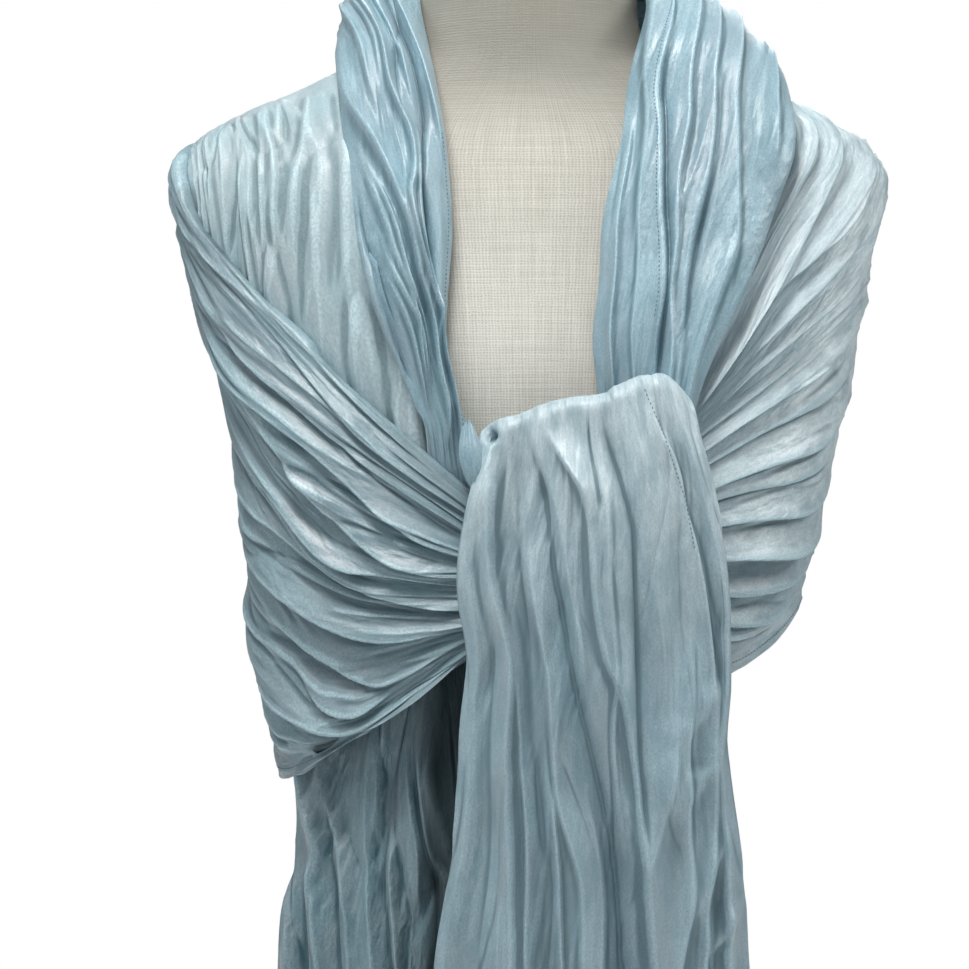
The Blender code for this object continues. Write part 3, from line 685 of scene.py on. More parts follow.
def satin(name, light, deep, grey, painted_highlight_on_crests=0.55, painted_shade_in_creases=0.80, crush=4.5, shine=0.75):
    """The shawl's satin: colour of its bright threads, of its darker threads, also used for painted crease
    shade, and of its greyer patches.
    Then how much painted highlight its crests get and how much painted shade its creases get, how crushed it
    is and how it shines."""
    made, tree, shader, _, woven = finish(
        name, fibres, Specular_IOR_Level=shine, Anisotropic=0.35, Sheen_Weight=0.15, Sheen_Roughness=0.35
    )
    stands = node(tree, "ShaderNodeAttribute", attribute_name="crest").outputs["Fac"]
    painted_light_and_shade_value = node(tree, "ShaderNodeAttribute", attribute_name="painted_light_and_shade").outputs["Fac"]
    in_threads = (*deep, 1)
    # Colours of the painted shade in the creases and of the painted highlight on the crests
    painted_crease_shade_colour = (*[0.55 * value for value in deep], 1)
    painted_crest_highlight_colour = (*[min(1.0, 1.35 * value) for value in light], 1)
    body = mixed(tree, ranged(tree, woven["Tone"], 0.35, 0.68), (*light, 1), (*grey, 1))
    # Painted light: a value above nothing paints the satin paler
    body = mixed(tree, maths(tree, "MULTIPLY", painted_light_and_shade_value, 0.88), body, (0.76, 0.89, 0.93, 1))
    body = mixed(tree, ranged(tree, woven["Streak"], 0.34, 0.66, 0.0, 0.24), body, in_threads)
    body = mixed(tree, ranged(tree, woven["Patch"], 0.42, 0.66, 0.0, 0.45), body, in_threads)
    # Painted shade in the creases and painted highlight on the crests, from how far each place stands out
    body = mixed(tree, ranged(tree, stands, 0.02, 0.46, painted_shade_in_creases, 0.0), body, painted_crease_shade_colour)
    body = mixed(tree, ranged(tree, stands, 0.70, 1.0, 0.0, painted_highlight_on_crests), body, painted_crest_highlight_colour)
    threaded = ranged(tree, woven["Thread"], 0.35, 0.66, 0.0, 0.50)
    less = maths(tree, "SUBTRACT", 1.0, maths(tree, "MULTIPLY", maths(tree, "MAXIMUM", painted_light_and_shade_value, 0.0), 0.5))
    body = mixed(tree, maths(tree, "MULTIPLY", threaded, less), body, in_threads)
    # Painted shade: a value below nothing paints the inside of the cloth dark
    inside = maths(tree, "MULTIPLY", painted_light_and_shade_value, -1.0)
    body = mixed(tree, inside, body, (0.010, 0.035, 0.045, 1))
    tree.links.new(body, shader.inputs["Base Color"])
    rough = maths(tree, "MULTIPLY_ADD", woven["Patch"], 0.30, 0.23)
    rough = maths(tree, "MAXIMUM", rough, maths(tree, "MULTIPLY", inside, 0.75))
    tree.links.new(rough, shader.inputs["Roughness"])
    relief(tree, shader, maths(tree, "MULTIPLY_ADD", woven["Crushed"], crush, woven["Height"]), 0.8, 0.0006)
    return made


satin_swag = satin("satin_swag", light=(0.35, 0.49, 0.54), deep=(0.15, 0.26, 0.31), grey=(0.32, 0.385, 0.425),
                   painted_highlight_on_crests=0.80, painted_shade_in_creases=0.96)

turns = np.concatenate([
    np.linspace(-172, -90, 236),
    np.linspace(-90, 90, 118)[1:],
    np.linspace(90, 163, 212)[1:],
])
folds = np.concatenate([
    np.linspace(0, panel_share, 130, endpoint=False),
    np.linspace(panel_share, 1, 291),
])
on_left, on_right = turns < -90, turns > 90
on_back = ~on_left & ~on_right
on_swag = np.clip((folds - panel_share) / (1 - panel_share), 0, 1)
height = np.zeros((len(folds), len(turns)))
height[:, on_left] = swag_heights(swag_left, swag_left_turns, on_swag, -180 - turns[on_left])
height[:, on_right] = swag_heights(swag_right, swag_right_turns, folds, 180 - turns[on_right])
shoulder_line = shoulder_height(sizes_at(spaced(panel_folds), np.clip(folds / panel_share, 0, 1))[0])
side_left = swag_heights(swag_left, swag_left_turns, on_swag, np.array([-90.0]))[:, 0]
left_end = np.where(folds < panel_share, shoulder_line, side_left)[:, None]
right_end = swag_heights(swag_right, swag_right_turns, folds, np.array([90.0]))
nape = (nape_top - (nape_top - nape_hem) * (0.92 * folds + 0.08 * folds**2))[:, None]
ends = np.where(turns[on_back] > 0, right_end, left_end)
height[:, on_back] = nape + (ends - nape) * np.sin(np.radians(turns[on_back])) ** 2

# Main folds of the swags and of the back. Each has stations of turn and place across, then the width
# of its side above the crest and below it, and its height.
left_tucks = [
    ([(-131, 0.318), (-148, 0.338), (-180, 0.33)], 0.012, 0.0030, 0.0040),
    ([(-100, 0.362), (-125, 0.375), (-150, 0.392), (-180, 0.388)], 0.016, 0.0030, 0.0045),
    ([(-98, 0.440), (-120, 0.432), (-138, 0.430), (-150, 0.446), (-160, 0.466),
      (-180, 0.466)], 0.016, 0.0036, 0.0078),
    ([(-60, 0.480), (-92, 0.470), (-109, 0.458), (-126, 0.463), (-140, 0.500), (-158, 0.530),
      (-180, 0.546)], 0.018, 0.0036, 0.0078),
    ([(-118, 0.520), (-134, 0.528), (-146, 0.535)], 0.010, 0.0025, 0.0030),
    ([(-50, 0.550), (-84, 0.562), (-110, 0.576), (-128, 0.563), (-143, 0.573), (-152, 0.562),
      (-180, 0.588)], 0.016, 0.0034, 0.0068),
    ([(-86, 0.640), (-105, 0.634), (-120, 0.628), (-140, 0.612), (-152, 0.622), (-165, 0.650),
      (-180, 0.655)], 0.018, 0.0036, 0.0078),
    ([(-98, 0.668), (-112, 0.672), (-126, 0.664)], 0.010, 0.0025, 0.0030),
    ([(-40, 0.690), (-84, 0.700), (-110, 0.710), (-140, 0.716), (-152, 0.728),
      (-180, 0.712)], 0.018, 0.0038, 0.0082),
    ([(-112, 0.778), (-130, 0.767), (-140, 0.775), (-152, 0.800), (-180, 0.770)], 0.012, 0.0026, 0.0040),
    ([(-60, 0.800), (-90, 0.814), (-104, 0.828), (-116, 0.850), (-134, 0.856), (-155, 0.884),
      (-180, 0.868)], 0.018, 0.0036, 0.0078),
    ([(-127, 0.797), (-135, 0.816), (-143, 0.826), (-156, 0.822)], 0.010, 0.0026, 0.0045),
    ([(-60, 0.915), (-92, 0.926), (-109, 0.929), (-126, 0.925), (-150, 0.930),
      (-180, 0.93)], 0.014, 0.0040, 0.0022),
]
right_tucks = [
    ([(88, 0.030), (110, 0.050), (130, 0.052), (150, 0.060), (180, 0.060)], 0.014, 0.0028, 0.0040),
    ([(92, 0.088), (108, 0.098), (126, 0.120), (136, 0.150), (148, 0.128),
      (180, 0.125)], 0.014, 0.0028, 0.0050),
    ([(60, 0.235), (90, 0.205), (105, 0.200), (118, 0.222), (130, 0.208), (140, 0.165),
      (180, 0.160)], 0.020, 0.0040, 0.0072),
    ([(50, 0.270), (84, 0.282), (105, 0.314), (120, 0.288), (136, 0.288), (150, 0.245),
      (180, 0.240)], 0.022, 0.0042, 0.0085),
    ([(60, 0.310), (97, 0.345), (113, 0.390), (131, 0.376), (150, 0.345),
      (180, 0.340)], 0.022, 0.0042, 0.0085),
    ([(94, 0.420), (112, 0.440), (132, 0.430), (150, 0.410), (180, 0.410)], 0.014, 0.0026, 0.0045),
    ([(92, 0.462), (112, 0.470), (132, 0.468), (150, 0.460), (180, 0.460)], 0.014, 0.0026, 0.0045),
    ([(40, 0.480), (84, 0.495), (104, 0.520), (122, 0.540), (143, 0.522),
      (180, 0.540)], 0.022, 0.0042, 0.0085),
    ([(96, 0.590), (118, 0.600), (140, 0.590), (180, 0.590)], 0.014, 0.0026, 0.0045),
    ([(60, 0.630), (90, 0.640), (118, 0.652), (144, 0.642), (180, 0.640)], 0.020, 0.0040, 0.0072),
    ([(98, 0.690), (122, 0.690), (142, 0.678), (180, 0.680)], 0.012, 0.0026, 0.0045),
    ([(50, 0.720), (92, 0.735), (120, 0.740), (142, 0.724), (180, 0.724)], 0.020, 0.0040, 0.0072),
    ([(88, 0.790), (118, 0.800), (140, 0.784), (180, 0.784)], 0.022, 0.0030, 0.0115),
    ([(60, 0.860), (100, 0.872), (138, 0.862), (180, 0.860)], 0.014, 0.0028, 0.0055),
    ([(100, 0.915), (120, 0.925), (137, 0.912), (180, 0.910)], 0.010, 0.0024, 0.0035),
    ([(92, 0.955), (118, 0.958), (137, 0.942), (180, 0.945)], 0.010, 0.0024, 0.0035),
]
back_tucks = [
    ([(-70, 0.16), (-30, 0.150), (10, 0.165), (46, 0.18)], 0.018, 0.0030, 0.0060),
    ([(-46, 0.255), (-10, 0.260), (30, 0.245), (80, 0.215)], 0.018, 0.0030, 0.0060),
    ([(-84, 0.330), (-50, 0.340), (-20, 0.355), (24, 0.350)], 0.018, 0.0030, 0.0070),
    ([(-56, 0.420), (-20, 0.430), (20, 0.425), (64, 0.405)], 0.018, 0.0030, 0.0065),
    ([(-30, 0.515), (6, 0.520), (40, 0.545), (76, 0.560)], 0.018, 0.0030, 0.0065),
    ([(-76, 0.615), (-40, 0.610), (-6, 0.600), (34, 0.615)], 0.018, 0.0030, 0.0065),
    ([(-20, 0.670), (16, 0.680), (50, 0.685), (84, 0.690)], 0.018, 0.0030, 0.0060),
    ([(-66, 0.755), (-26, 0.760), (12, 0.770), (46, 0.765)], 0.018, 0.0030, 0.0070),
    ([(-44, 0.850), (-8, 0.860), (34, 0.850), (78, 0.845)], 0.016, 0.0030, 0.0060),
    ([(-80, 0.945), (-30, 0.940), (20, 0.950), (60, 0.945)], 0.014, 0.0028, 0.0050),
    ([(-50, 0.060), (-14, 0.070), (24, 0.062), (70, 0.075)], 0.014, 0.0028, 0.0050),
]


def gathered(points, across):
    """How far the cloth is drawn together at each place, 1 where it lies at its full width."""
    reach = np.linalg.norm(np.gradient(points, across, axis=0), axis=-1)
    return np.clip(reach / cloth_width, 0.05, 1.5)


turn = turns[None, :]
fold = folds[:, None]
base = worn_place(180 - turn, height)
out = straight_out(180 - turn, height)
close = gathered(base, folds)
downward = unit(np.gradient(base, folds, axis=0))
along = np.radians(turn) * girth
across = fold * cloth_width
lift = swag_lift * rising(turn, -88, -122) * (fold >= panel_share)
# The folds lie flatter round each arm's side, stand higher toward the front, and the fine ones are
# smoother on the right
by_side = np.exp(-(((np.abs(turn) - 97) / 20) ** 2))
smoother = 1 - 0.62 * rising(turn, 80, 110)
toward_front = rising(np.abs(turn), 62, 110)
main_folds = tucks(left_tucks + right_tucks, turn, fold, cloth_width, most_fade=22)
main_folds = main_folds + tucks(back_tucks, turn, fold, cloth_width, most_fade=22, sharp=1.5)
main_folds = main_folds * (0.60 + (0.95 + 0.10 * (turn > 0)) * toward_front) * (1 - 0.80 * by_side)
# They stand higher low on the swag and die out toward the hem
main_folds = main_folds * (1 + 0.5 * rising(fold, 0.72, 0.87) - 1.5 * rising(fold, 0.92, 0.97))
fine_folds = smoother * (0.72 + 0.28 * toward_front) * (1 - 0.30 * by_side) * crinkles(along, across, seed=11)
# Over the left shoulder only a trace of the panel's own crinkles stands
near_panel = (fold < panel_share) * rising(turn, -52, -82)
over_shoulder = 0.16 * crinkles(along, across, seed=17, high=0.0026, swell=0.45, crisp=0.7)
fine_folds = fine_folds * (1 - near_panel) + over_shoulder * near_panel
raised = main_folds * close**0.30 * (1 - 0.8 * near_panel) + fine_folds * close**0.35
lean = 0.05 + 0.60 * toward_front
wrap = base + out * (lift + raised)[..., None] + downward * (lean * raised)[..., None]
# Each piece's flat coordinates start elsewhere, so that no two pieces have the same streaks
wrap_flat = together(along + 0.6, across)
# Crest values, which give the painted shade in the creases and the painted highlight on the crests
wrap_crest = hollows(raised, cloth_width / len(folds))
# Painted light: the wrap is painted paler on its right side, where the light falls, less so toward the hem
wrap_painted_light = rising(turn, 60, 100) * (1 - 0.65 * rising(fold, 0.66, 0.90))


def facing(points):
    """Straight out of a grid whose rows run across the folds and whose columns run along them."""
    return unit(np.cross(np.gradient(points, axis=1), np.gradient(points, axis=0)))


def surface_out(points):
    """The same for a grid whose rows run along the folds and whose columns run across them."""
    return -facing(points)


def turned_under(points, flat, radius, back, steps=9):
    """Adds rows past the last one that turn the cloth under: radius of the fold and width of the turning."""
    last = points[-1]
    ahead = unit(last - points[-4])
    under = unit(np.cross(ahead, np.gradient(last, axis=0)))
    radius = np.broadcast_to(radius, last.shape[:1])[:, None]
    rows, places = [], []
    for angle in np.linspace(0, math.pi, steps)[1:]:
        rows.append(last + radius * (ahead * math.sin(angle) + under * (1 - math.cos(angle))))
        places.append(flat[-1] + np.stack([0 * radius[:, 0], radius[:, 0] * angle], -1))
    for share in (0.25, 0.6, 1.0):
        rows.append(rows[steps - 2] - ahead * back * share)
        places.append(places[steps - 2] + np.array([0, back * share]))
    return np.concatenate([points, rows]), np.concatenate([flat, places])


wrap_facing = facing(wrap)
hem_round = 0.0011
hem_back = 0.008
roll_round = 0.0045
roll_back = 0.012


def cut_out(name, rows, columns, node_name, roll=None):
    """One piece of the wrap, with its hem turned under and, where it has one, a rolled upper edge."""
    part = np.ix_(rows, columns)
    whole, whole_flat = turned_under(wrap[part], wrap_flat[part], hem_round, hem_back)
    above, below = 0, len(whole) - np.count_nonzero(rows)
    if roll is not None:
        upside, upside_flat = whole[::-1, ::-1], whole_flat[::-1, ::-1]
        rolled, rolled_flat = turned_under(upside, upside_flat, roll[::-1], roll_back, 15)
        above = len(rolled) - len(whole)
        whole, whole_flat = rolled[::-1, ::-1], rolled_flat[::-1, ::-1]
    margins = ((above, below), (0, 0))
    crest = np.pad(wrap_crest[part], margins, mode="edge")
    painted_light_and_shade = np.pad(wrap_painted_light[part], margins, mode="edge")
    piece = grid_piece(name, whole, whole_flat, satin_swag, crest, painted_light_and_shade)
    # Its shading runs on into its neighbours
    shaded = facing(whole)
    shaded[above:len(whole) - below] = wrap_facing[part]
    piece.data.normals_split_custom_set_from_vertices(shaded.reshape(-1, 3).tolist())
    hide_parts(node_name)
    return piece


left_columns = turns <= -90
back_columns = (turns >= -90) & (turns <= 90)
right_columns = turns >= 90
every_row = folds >= 0
left_roll = roll_round * (0.45 + 0.55 * rising(turns[left_columns], -90, -104))
left_swag = cut_out("left_swag", folds >= panel_share, left_columns, "wing_left", left_roll)
right_swag = cut_out("right_swag", every_row, right_columns, "wing_right")
back_piece = cut_out("back_piece", every_row, back_columns, "back_wrap")

# Left shoulder panel: the same pleated cloth drawn down in front of the left shoulder.
# It runs on from the back over the shoulder line and goes in under the left swag.
panel_part = np.linspace(0, 1, 160)[None, :]
panel_across = folds[folds <= panel_share + 1e-9][:, None] / panel_share
panel_crest, panel_low_x, panel_low_z = sizes_at(spaced(panel_folds), panel_across)
panel_top = shoulder_height(panel_crest)
panel_height = panel_top - (panel_top - panel_low_z) * panel_part**1.8
panel_x = -panel_crest + (panel_low_x + panel_crest) * panel_part
left_half, _, front_depth, _ = sizes_at(worn_sections, panel_height)
panel_y = -front_depth * np.sqrt(np.clip(1 - (panel_x / left_half) ** 2, 0, 1))
panel_base = together(panel_x, panel_y, panel_height)
panel_turn = -np.degrees(np.arcsin(np.clip(-panel_x / left_half, 0, 1)))
panel_out = straight_out(panel_turn, panel_height)
panel_close = gathered(panel_base, panel_across[:, 0] * panel_share)
panel_along = np.radians(-90) * girth - 0.22 * panel_part
panel_place = panel_across * panel_share * cloth_width
panel_fine = crinkles(panel_along, panel_place, seed=17, high=0.0026, swell=0.45, crisp=0.7)
panel_fine = panel_fine * np.clip(1.6 * panel_close, 0.3, 1) * (0.16 + 1.10 * rising(panel_part, 0, 0.40))
# Its own folds, each from stations of part of the way down and place across
panel_tucks = [
    ([(0.02, 0.385), (0.30, 0.400), (0.60, 0.430), (0.85, 0.450)], 0.007, 0.0018, 0.0036),
    ([(0.02, 0.200), (0.30, 0.220), (0.55, 0.300), (0.80, 0.360)], 0.007, 0.0018, 0.0040),
    ([(0.08, 0.100), (0.40, 0.120), (0.70, 0.160), (1.00, 0.170)], 0.006, 0.0018, 0.0036),
    ([(0.20, 0.030), (0.50, 0.050), (0.80, 0.050), (1.10, 0.060)], 0.006, 0.0018, 0.0034),
    ([(0.00, 0.300), (0.20, 0.310), (0.45, 0.345)], 0.005, 0.0016, 0.0028),
    ([(0.00, 0.520), (0.30, 0.540), (0.60, 0.570), (0.90, 0.600)], 0.006, 0.0018, 0.0036),
    ([(0.10, 0.640), (0.40, 0.660), (0.80, 0.700)], 0.005, 0.0016, 0.0030),
    ([(0.00, 0.760), (0.40, 0.775), (0.80, 0.800)], 0.005, 0.0016, 0.0030),
    ([(0.00, 0.880), (0.50, 0.885), (1.00, 0.900)], 0.004, 0.0016, 0.0026),
    ([(0.45, 0.240), (0.70, 0.250), (1.00, 0.270)], 0.005, 0.0016, 0.0030),
]
panel_drawn = tucks(panel_tucks, panel_part, panel_across, 0.11, most_fade=0.3, sharp=1.15, rounded=0.03)
panel_fine = panel_fine + panel_drawn * rising(panel_part, 0.04, 0.26)
panel_sunk = 0.0020 * rising(panel_across, 0.7, 1.0) * rising(panel_part, 0, 0.12)
panel = panel_base + panel_out * (panel_fine - panel_sunk)[..., None]
# At the shoulder line it runs on from the back
shoulder_seam = wrap[folds < panel_share][:, turns == -90]
shoulder_seam = np.concatenate([shoulder_seam, shoulder_seam[-1:]])
panel = panel + (shoulder_seam - panel[:, :1]) * (1 - rising(panel_part, 0, 0.16))[..., None]
# Its outer border goes on round the arm under the swag, in steps of 1.2 degrees or 4.2 mm
round_arm = np.arange(1, 21)[:, None]
border_turn = panel_turn[-1] - 1.2 * round_arm
inset = panel_sunk[-1] + 0.0004 + 0.00012 * round_arm
border = worn_place(border_turn, panel_height[-1])
border = border - straight_out(border_turn, panel_height[-1]) * inset[..., None]
panel = np.concatenate([panel, border])
panel_place = np.concatenate([panel_place, panel_place[-1] + 0.0042 * round_arm])
# Crest values, for painted crease shade and painted crest highlights
panel_stands = hollows(panel_fine, 0.14 / len(panel_across))
panel_stands = np.pad(panel_stands, ((0, len(round_arm)), (0, 0)), mode="edge")
# Painted light: the panel's satin has lighter colours than the other pieces of the same cloth
satin_panel_painted_light = satin("satin_panel_painted_light", light=(0.53, 0.67, 0.71), deep=(0.29, 0.43, 0.48), grey=(0.54, 0.61, 0.63),
                    crush=2.0, shine=0.40)
shoulder_panel = grid_piece("shoulder_panel", panel, together(panel_along + 0.6, panel_place),
                            satin_panel_painted_light, panel_stands)
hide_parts("shoulder_left")

# Collar: the shawl's upper border laid over in a soft roll round the neck, in long flat folds.
# It is one run of cloth from the knot, up the left side, round the nape and down the right.
collar_sections = [
    # inner edge x, y, z, outer edge x, y, z, height of the roll
    (-0.0270, -0.1120, 0.678, -0.0560, -0.1150, 0.690, 0.001),
    (-0.0338, -0.1180, 0.709, -0.0580, -0.1240, 0.729, 0.002),
    (-0.0370, -0.1170, 0.736, -0.0655, -0.1240, 0.747, 0.004),
    (-0.0474, -0.1120, 0.767, -0.0745, -0.1220, 0.771, 0.007),
    (-0.0468, -0.1000, 0.804, -0.0885, -0.1170, 0.804, 0.012),
    (-0.0442, -0.0870, 0.8485, -0.0978, -0.1010, 0.8485, 0.015),
    (-0.0473, -0.0720, 0.892, -0.1059, -0.0813, 0.892, 0.017),
    (-0.0545, -0.0530, 0.937, -0.1120, -0.0520, 0.938, 0.018),
    (-0.0640, -0.0120, 0.993, -0.1140, -0.0050, 0.960, 0.018),
    (-0.0566, 0.0265, 1.009, -0.1020, 0.0500, 0.962, 0.017),
    (0.0000, 0.0545, 1.014, 0.0000, 0.0920, 0.952, 0.015),
    (0.0588, 0.0250, 1.008, 0.1230, 0.0480, 0.955, 0.017),
    (0.0665, -0.0120, 0.993, 0.1480, -0.0040, 0.950, 0.016),
    (0.0654, -0.0500, 0.9626, 0.1530, -0.0520, 0.925, 0.016),
    (0.0560, -0.0620, 0.919, 0.1520, -0.0800, 0.892, 0.015),
    (0.0480, -0.0800, 0.878, 0.1400, -0.0940, 0.858, 0.014),
    (0.0410, -0.0920, 0.838, 0.1288, -0.1060, 0.830, 0.012),
    (0.0370, -0.1020, 0.804, 0.1167, -0.1160, 0.801, 0.010),
    (0.0365, -0.1080, 0.7755, 0.1036, -0.1210, 0.7755, 0.007),
    (0.0370, -0.1120, 0.747, 0.0935, -0.1246, 0.7490, 0.004),
    (0.0380, -0.1120, 0.712, 0.0860, -0.1200, 0.7120, 0.002),
]
# Its long folds: places along the sections and shares across, width of each side of the fold, height
collar_folds = [
    ([(-1, 0.10), (1.07, 0.255), (1.85, 0.195), (2.48, 0.27), (3.0, 0.42), (3.4, 0.52), (3.85, 0.56),
      (4.15, 0.53), (4.42, 0.45), (4.78, 0.41), (5.23, 0.455), (5.53, 0.52), (5.9, 0.525), (7.5, 0.50),
      (9.5, 0.46)], 0.006, 0.0022, 0.0045),
    ([(2.0, 0.20), (3.45, 0.28), (3.88, 0.325), (4.28, 0.34), (4.8, 0.29), (5.48, 0.20), (5.9, 0.215),
      (7.0, 0.3), (8.4, 0.4)], 0.0022, 0.0022, -0.0035),
    ([(4.9, 0.43), (5.8, 0.42), (6.48, 0.27), (7.4, 0.17)], 0.0022, 0.0030, -0.0025),
    ([(0, 0.5), (1.4, 0.42), (2.45, 0.405), (3.12, 0.54), (3.7, 0.60), (4.3, 0.68), (4.9, 0.80),
      (5.6, 0.95), (6.2, 0.97)], 0.010, 0.0025, 0.0055),
    ([(1.2, 0.93), (1.9, 0.90), (2.83, 0.86), (3.33, 0.88), (3.85, 0.945),
      (4.6, 0.95)], 0.003, 0.003, -0.0035),
    ([(1.0, 0.70), (2.5, 0.64), (3.6, 0.76), (4.6, 0.88), (5.2, 0.93)], 0.006, 0.002, 0.0030),
    ([(5.0, 0.66), (6.0, 0.74), (7.0, 0.72), (8.5, 0.70), (10.0, 0.74)], 0.008, 0.0025, 0.0045),
    ([(4.4, 0.10), (5.4, 0.08), (6.4, 0.14), (7.6, 0.22), (9.2, 0.20),
      (10.6, 0.16)], 0.006, 0.0025, 0.0035),
    ([(7.0, 0.90), (8.2, 0.86), (9.6, 0.88), (11.4, 0.90)], 0.007, 0.0025, 0.0040),
    ([(8.0, 0.36), (9.4, 0.32), (11.0, 0.30), (12.4, 0.34)], 0.006, 0.0025, 0.0035),
    # The left side's narrower folds between the long ones
    ([(1.9, 0.33), (2.6, 0.30), (3.2, 0.36), (3.8, 0.44), (4.3, 0.40), (4.9, 0.34),
      (5.4, 0.36)], 0.004, 0.0014, 0.0026),
    ([(1.4, 0.56), (2.2, 0.52), (3.0, 0.66), (3.6, 0.70), (4.2, 0.78), (4.9, 0.90)], 0.005, 0.0014, 0.0030),
    ([(1.2, 0.62), (2.2, 0.60), (2.9, 0.72), (3.4, 0.80), (4.0, 0.86)], 0.004, 0.0014, 0.0026),
    ([(0.6, 0.78), (1.6, 0.74), (2.4, 0.72), (3.1, 0.80), (3.7, 0.90)], 0.004, 0.0014, 0.0026),
    ([(5.2, 0.30), (6.0, 0.34), (6.8, 0.38), (7.6, 0.42)], 0.006, 0.0016, 0.0034),
    ([(5.4, 0.62), (6.4, 0.58), (7.4, 0.60)], 0.005, 0.0016, 0.0030),
    # The right side's ribbons, from the neck outward
    ([(10.4, 0.02), (12.0, 0.04), (13.0, 0.13), (14.0, 0.18), (15.0, 0.255), (16.0, 0.30), (17.0, 0.34),
      (18.0, 0.40), (19.6, 0.42)], 0.0018, 0.014, 0.0042),
    ([(9.6, 0.10), (12.0, 0.15), (13.0, 0.20), (14.0, 0.295), (15.0, 0.41), (16.0, 0.50), (17.0, 0.54),
      (18.0, 0.60), (19.6, 0.61)], 0.010, 0.0016, 0.0036),
    ([(12.2, 0.19), (13.0, 0.235), (14.0, 0.325), (15.0, 0.44), (16.0, 0.52), (17.0, 0.57),
      (18.4, 0.63)], 0.0015, 0.0030, -0.0036),
    ([(9.2, 0.28), (12.0, 0.31), (13.0, 0.385), (14.0, 0.41), (15.0, 0.50), (16.0, 0.55), (17.0, 0.68),
      (18.0, 0.76), (19.6, 0.76)], 0.008, 0.0018, 0.0042),
    ([(9.6, 0.46), (12.0, 0.45), (13.0, 0.53), (14.0, 0.577), (15.0, 0.59), (16.0, 0.64), (17.0, 0.745),
      (18.0, 0.82), (19.6, 0.82)], 0.010, 0.0018, 0.0044),
    ([(13.6, 0.60), (14.6, 0.61), (15.6, 0.635), (16.6, 0.71), (17.6, 0.80)], 0.0015, 0.0030, -0.0034),
    ([(10.0, 0.62), (12.0, 0.60), (13.0, 0.66), (14.0, 0.767), (15.0, 0.87), (16.0, 0.87), (17.0, 0.90),
      (18.0, 0.93), (19.6, 0.93)], 0.011, 0.0018, 0.0048),
    ([(10.6, 0.84), (12.0, 0.86), (13.0, 0.90), (13.8, 0.95)], 0.009, 0.0020, 0.0040),
    ([(12.8, 0.02), (13.6, 0.06), (14.6, 0.10), (15.6, 0.12), (17.0, 0.16),
      (18.6, 0.20)], 0.004, 0.0020, 0.0030),
]
border_back = 0.006


def edged(points, flat, first_round, last_round, *values):
    """Turns both side borders of a piece under, with the given radii at the first and last place across."""
    columns = points.shape[1]
    points, flat = np.swapaxes(points, 0, 1), np.swapaxes(flat, 0, 1)
    for radius in (first_round, last_round):
        points, flat = turned_under(points[::-1, ::-1], flat[::-1, ::-1], radius, border_back, 7)
    added = (len(points) - columns) // 2
    padded = [np.pad(value, ((0, 0), (added, added)), mode="edge") for value in values]
    return np.swapaxes(points, 0, 1), np.swapaxes(flat, 0, 1), *padded


collar_steps, collar_columns = 400, 150
collar_place = np.linspace(-1, len(collar_sections) - 2, collar_steps)[:, None]
collar_across = np.linspace(0, 1, collar_columns)[None, :]
collar_section = between([(place - 1,) + row for place, row in enumerate(collar_sections)], collar_place)
collar_inner = collar_section[..., 0:3]
collar_outer = collar_section[..., 3:6]
collar_roll = collar_section[..., 6]
collar_domed = collar_roll * np.sin(np.pi * collar_across) ** 0.7
# The inner edge waves a little on the right
scallops = 0.0144 * np.sin(2.9 * collar_place) * (collar_place > 11) * (1 - collar_across) ** 2
collar_base = collar_inner + (collar_outer - collar_inner) * (collar_across + scallops)[..., None]
collar_wide = np.linalg.norm(collar_outer - collar_inner, axis=-1)
collar_run = np.linalg.norm(np.gradient(collar_base[:, collar_columns // 2], axis=0), axis=-1)
collar_along = np.cumsum(collar_run)[:, None]
collar_cloth = 0.112 * collar_across
collar_fine = crinkles(collar_along, collar_cloth, seed=31, apart=0.018, high=0.0013)
collar_fine = collar_fine * np.clip(collar_wide / 0.10, 0, 1) ** 0.5
collar_long = tucks(collar_folds, collar_place, collar_across, np.maximum(collar_wide, 0.072),
                    most_fade=1.2, rounded=0.02)
# The folds stand higher on the left side, up to the nape
collar_drawn = collar_fine + (1.4 + 1.0 * rising(collar_place, 8, 5)) * collar_long
collar_points = collar_base + surface_out(collar_base) * (collar_domed + collar_drawn)[..., None]
satin_collar = satin("satin_collar", light=(0.41, 0.59, 0.67), deep=(0.16, 0.30, 0.37),
                     grey=(0.36, 0.46, 0.52))
# Crest values, for painted crease shade and painted crest highlights
collar_crest = hollows(collar_drawn.T, 0.0006).T
collar_whole, collar_flat, collar_crest = edged(
    collar_points, together(collar_along, collar_cloth), 0.0009, 0.0020, collar_crest
)
collar = grid_piece("collar", collar_whole, collar_flat, satin_collar, collar_crest)
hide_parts("collar_left", "collar_back", "collar_right")

# Front fall: the end that comes up behind the knot, rolls forward over it and hangs free.
# Its folds fan from the roll; its right border has a narrow stitched hem.
fall_sections = [
    # height, left edge, right edge
    (0.235, -0.058, 0.124),
    (0.330, -0.056, 0.122),
    (0.440, -0.051, 0.118),
    (0.500, -0.042, 0.114),
    (0.560, -0.0385, 0.1065),
    (0.600, -0.0345, 0.107),
    (0.650, -0.039, 0.1065),
    (0.700, -0.030, 0.100),
    (0.730, -0.026, 0.092),
    (0.760, -0.022, 0.086),
]
fall_top = [
    # across from the left edge, height of the roll
    (0.00, 0.7290),
    (0.06, 0.7345),
    (0.14, 0.7385),
    (0.28, 0.7445),
    (0.40, 0.7480),
    (0.55, 0.7500),
    (0.66, 0.7550),
    (0.75, 0.7592),
    (0.85, 0.7608),
    (0.94, 0.7560),
    (1.00, 0.7470),
]
fall_front = -0.156
fall_lip = -0.137
fall_hem = 0.240
fall_bow = 0.014
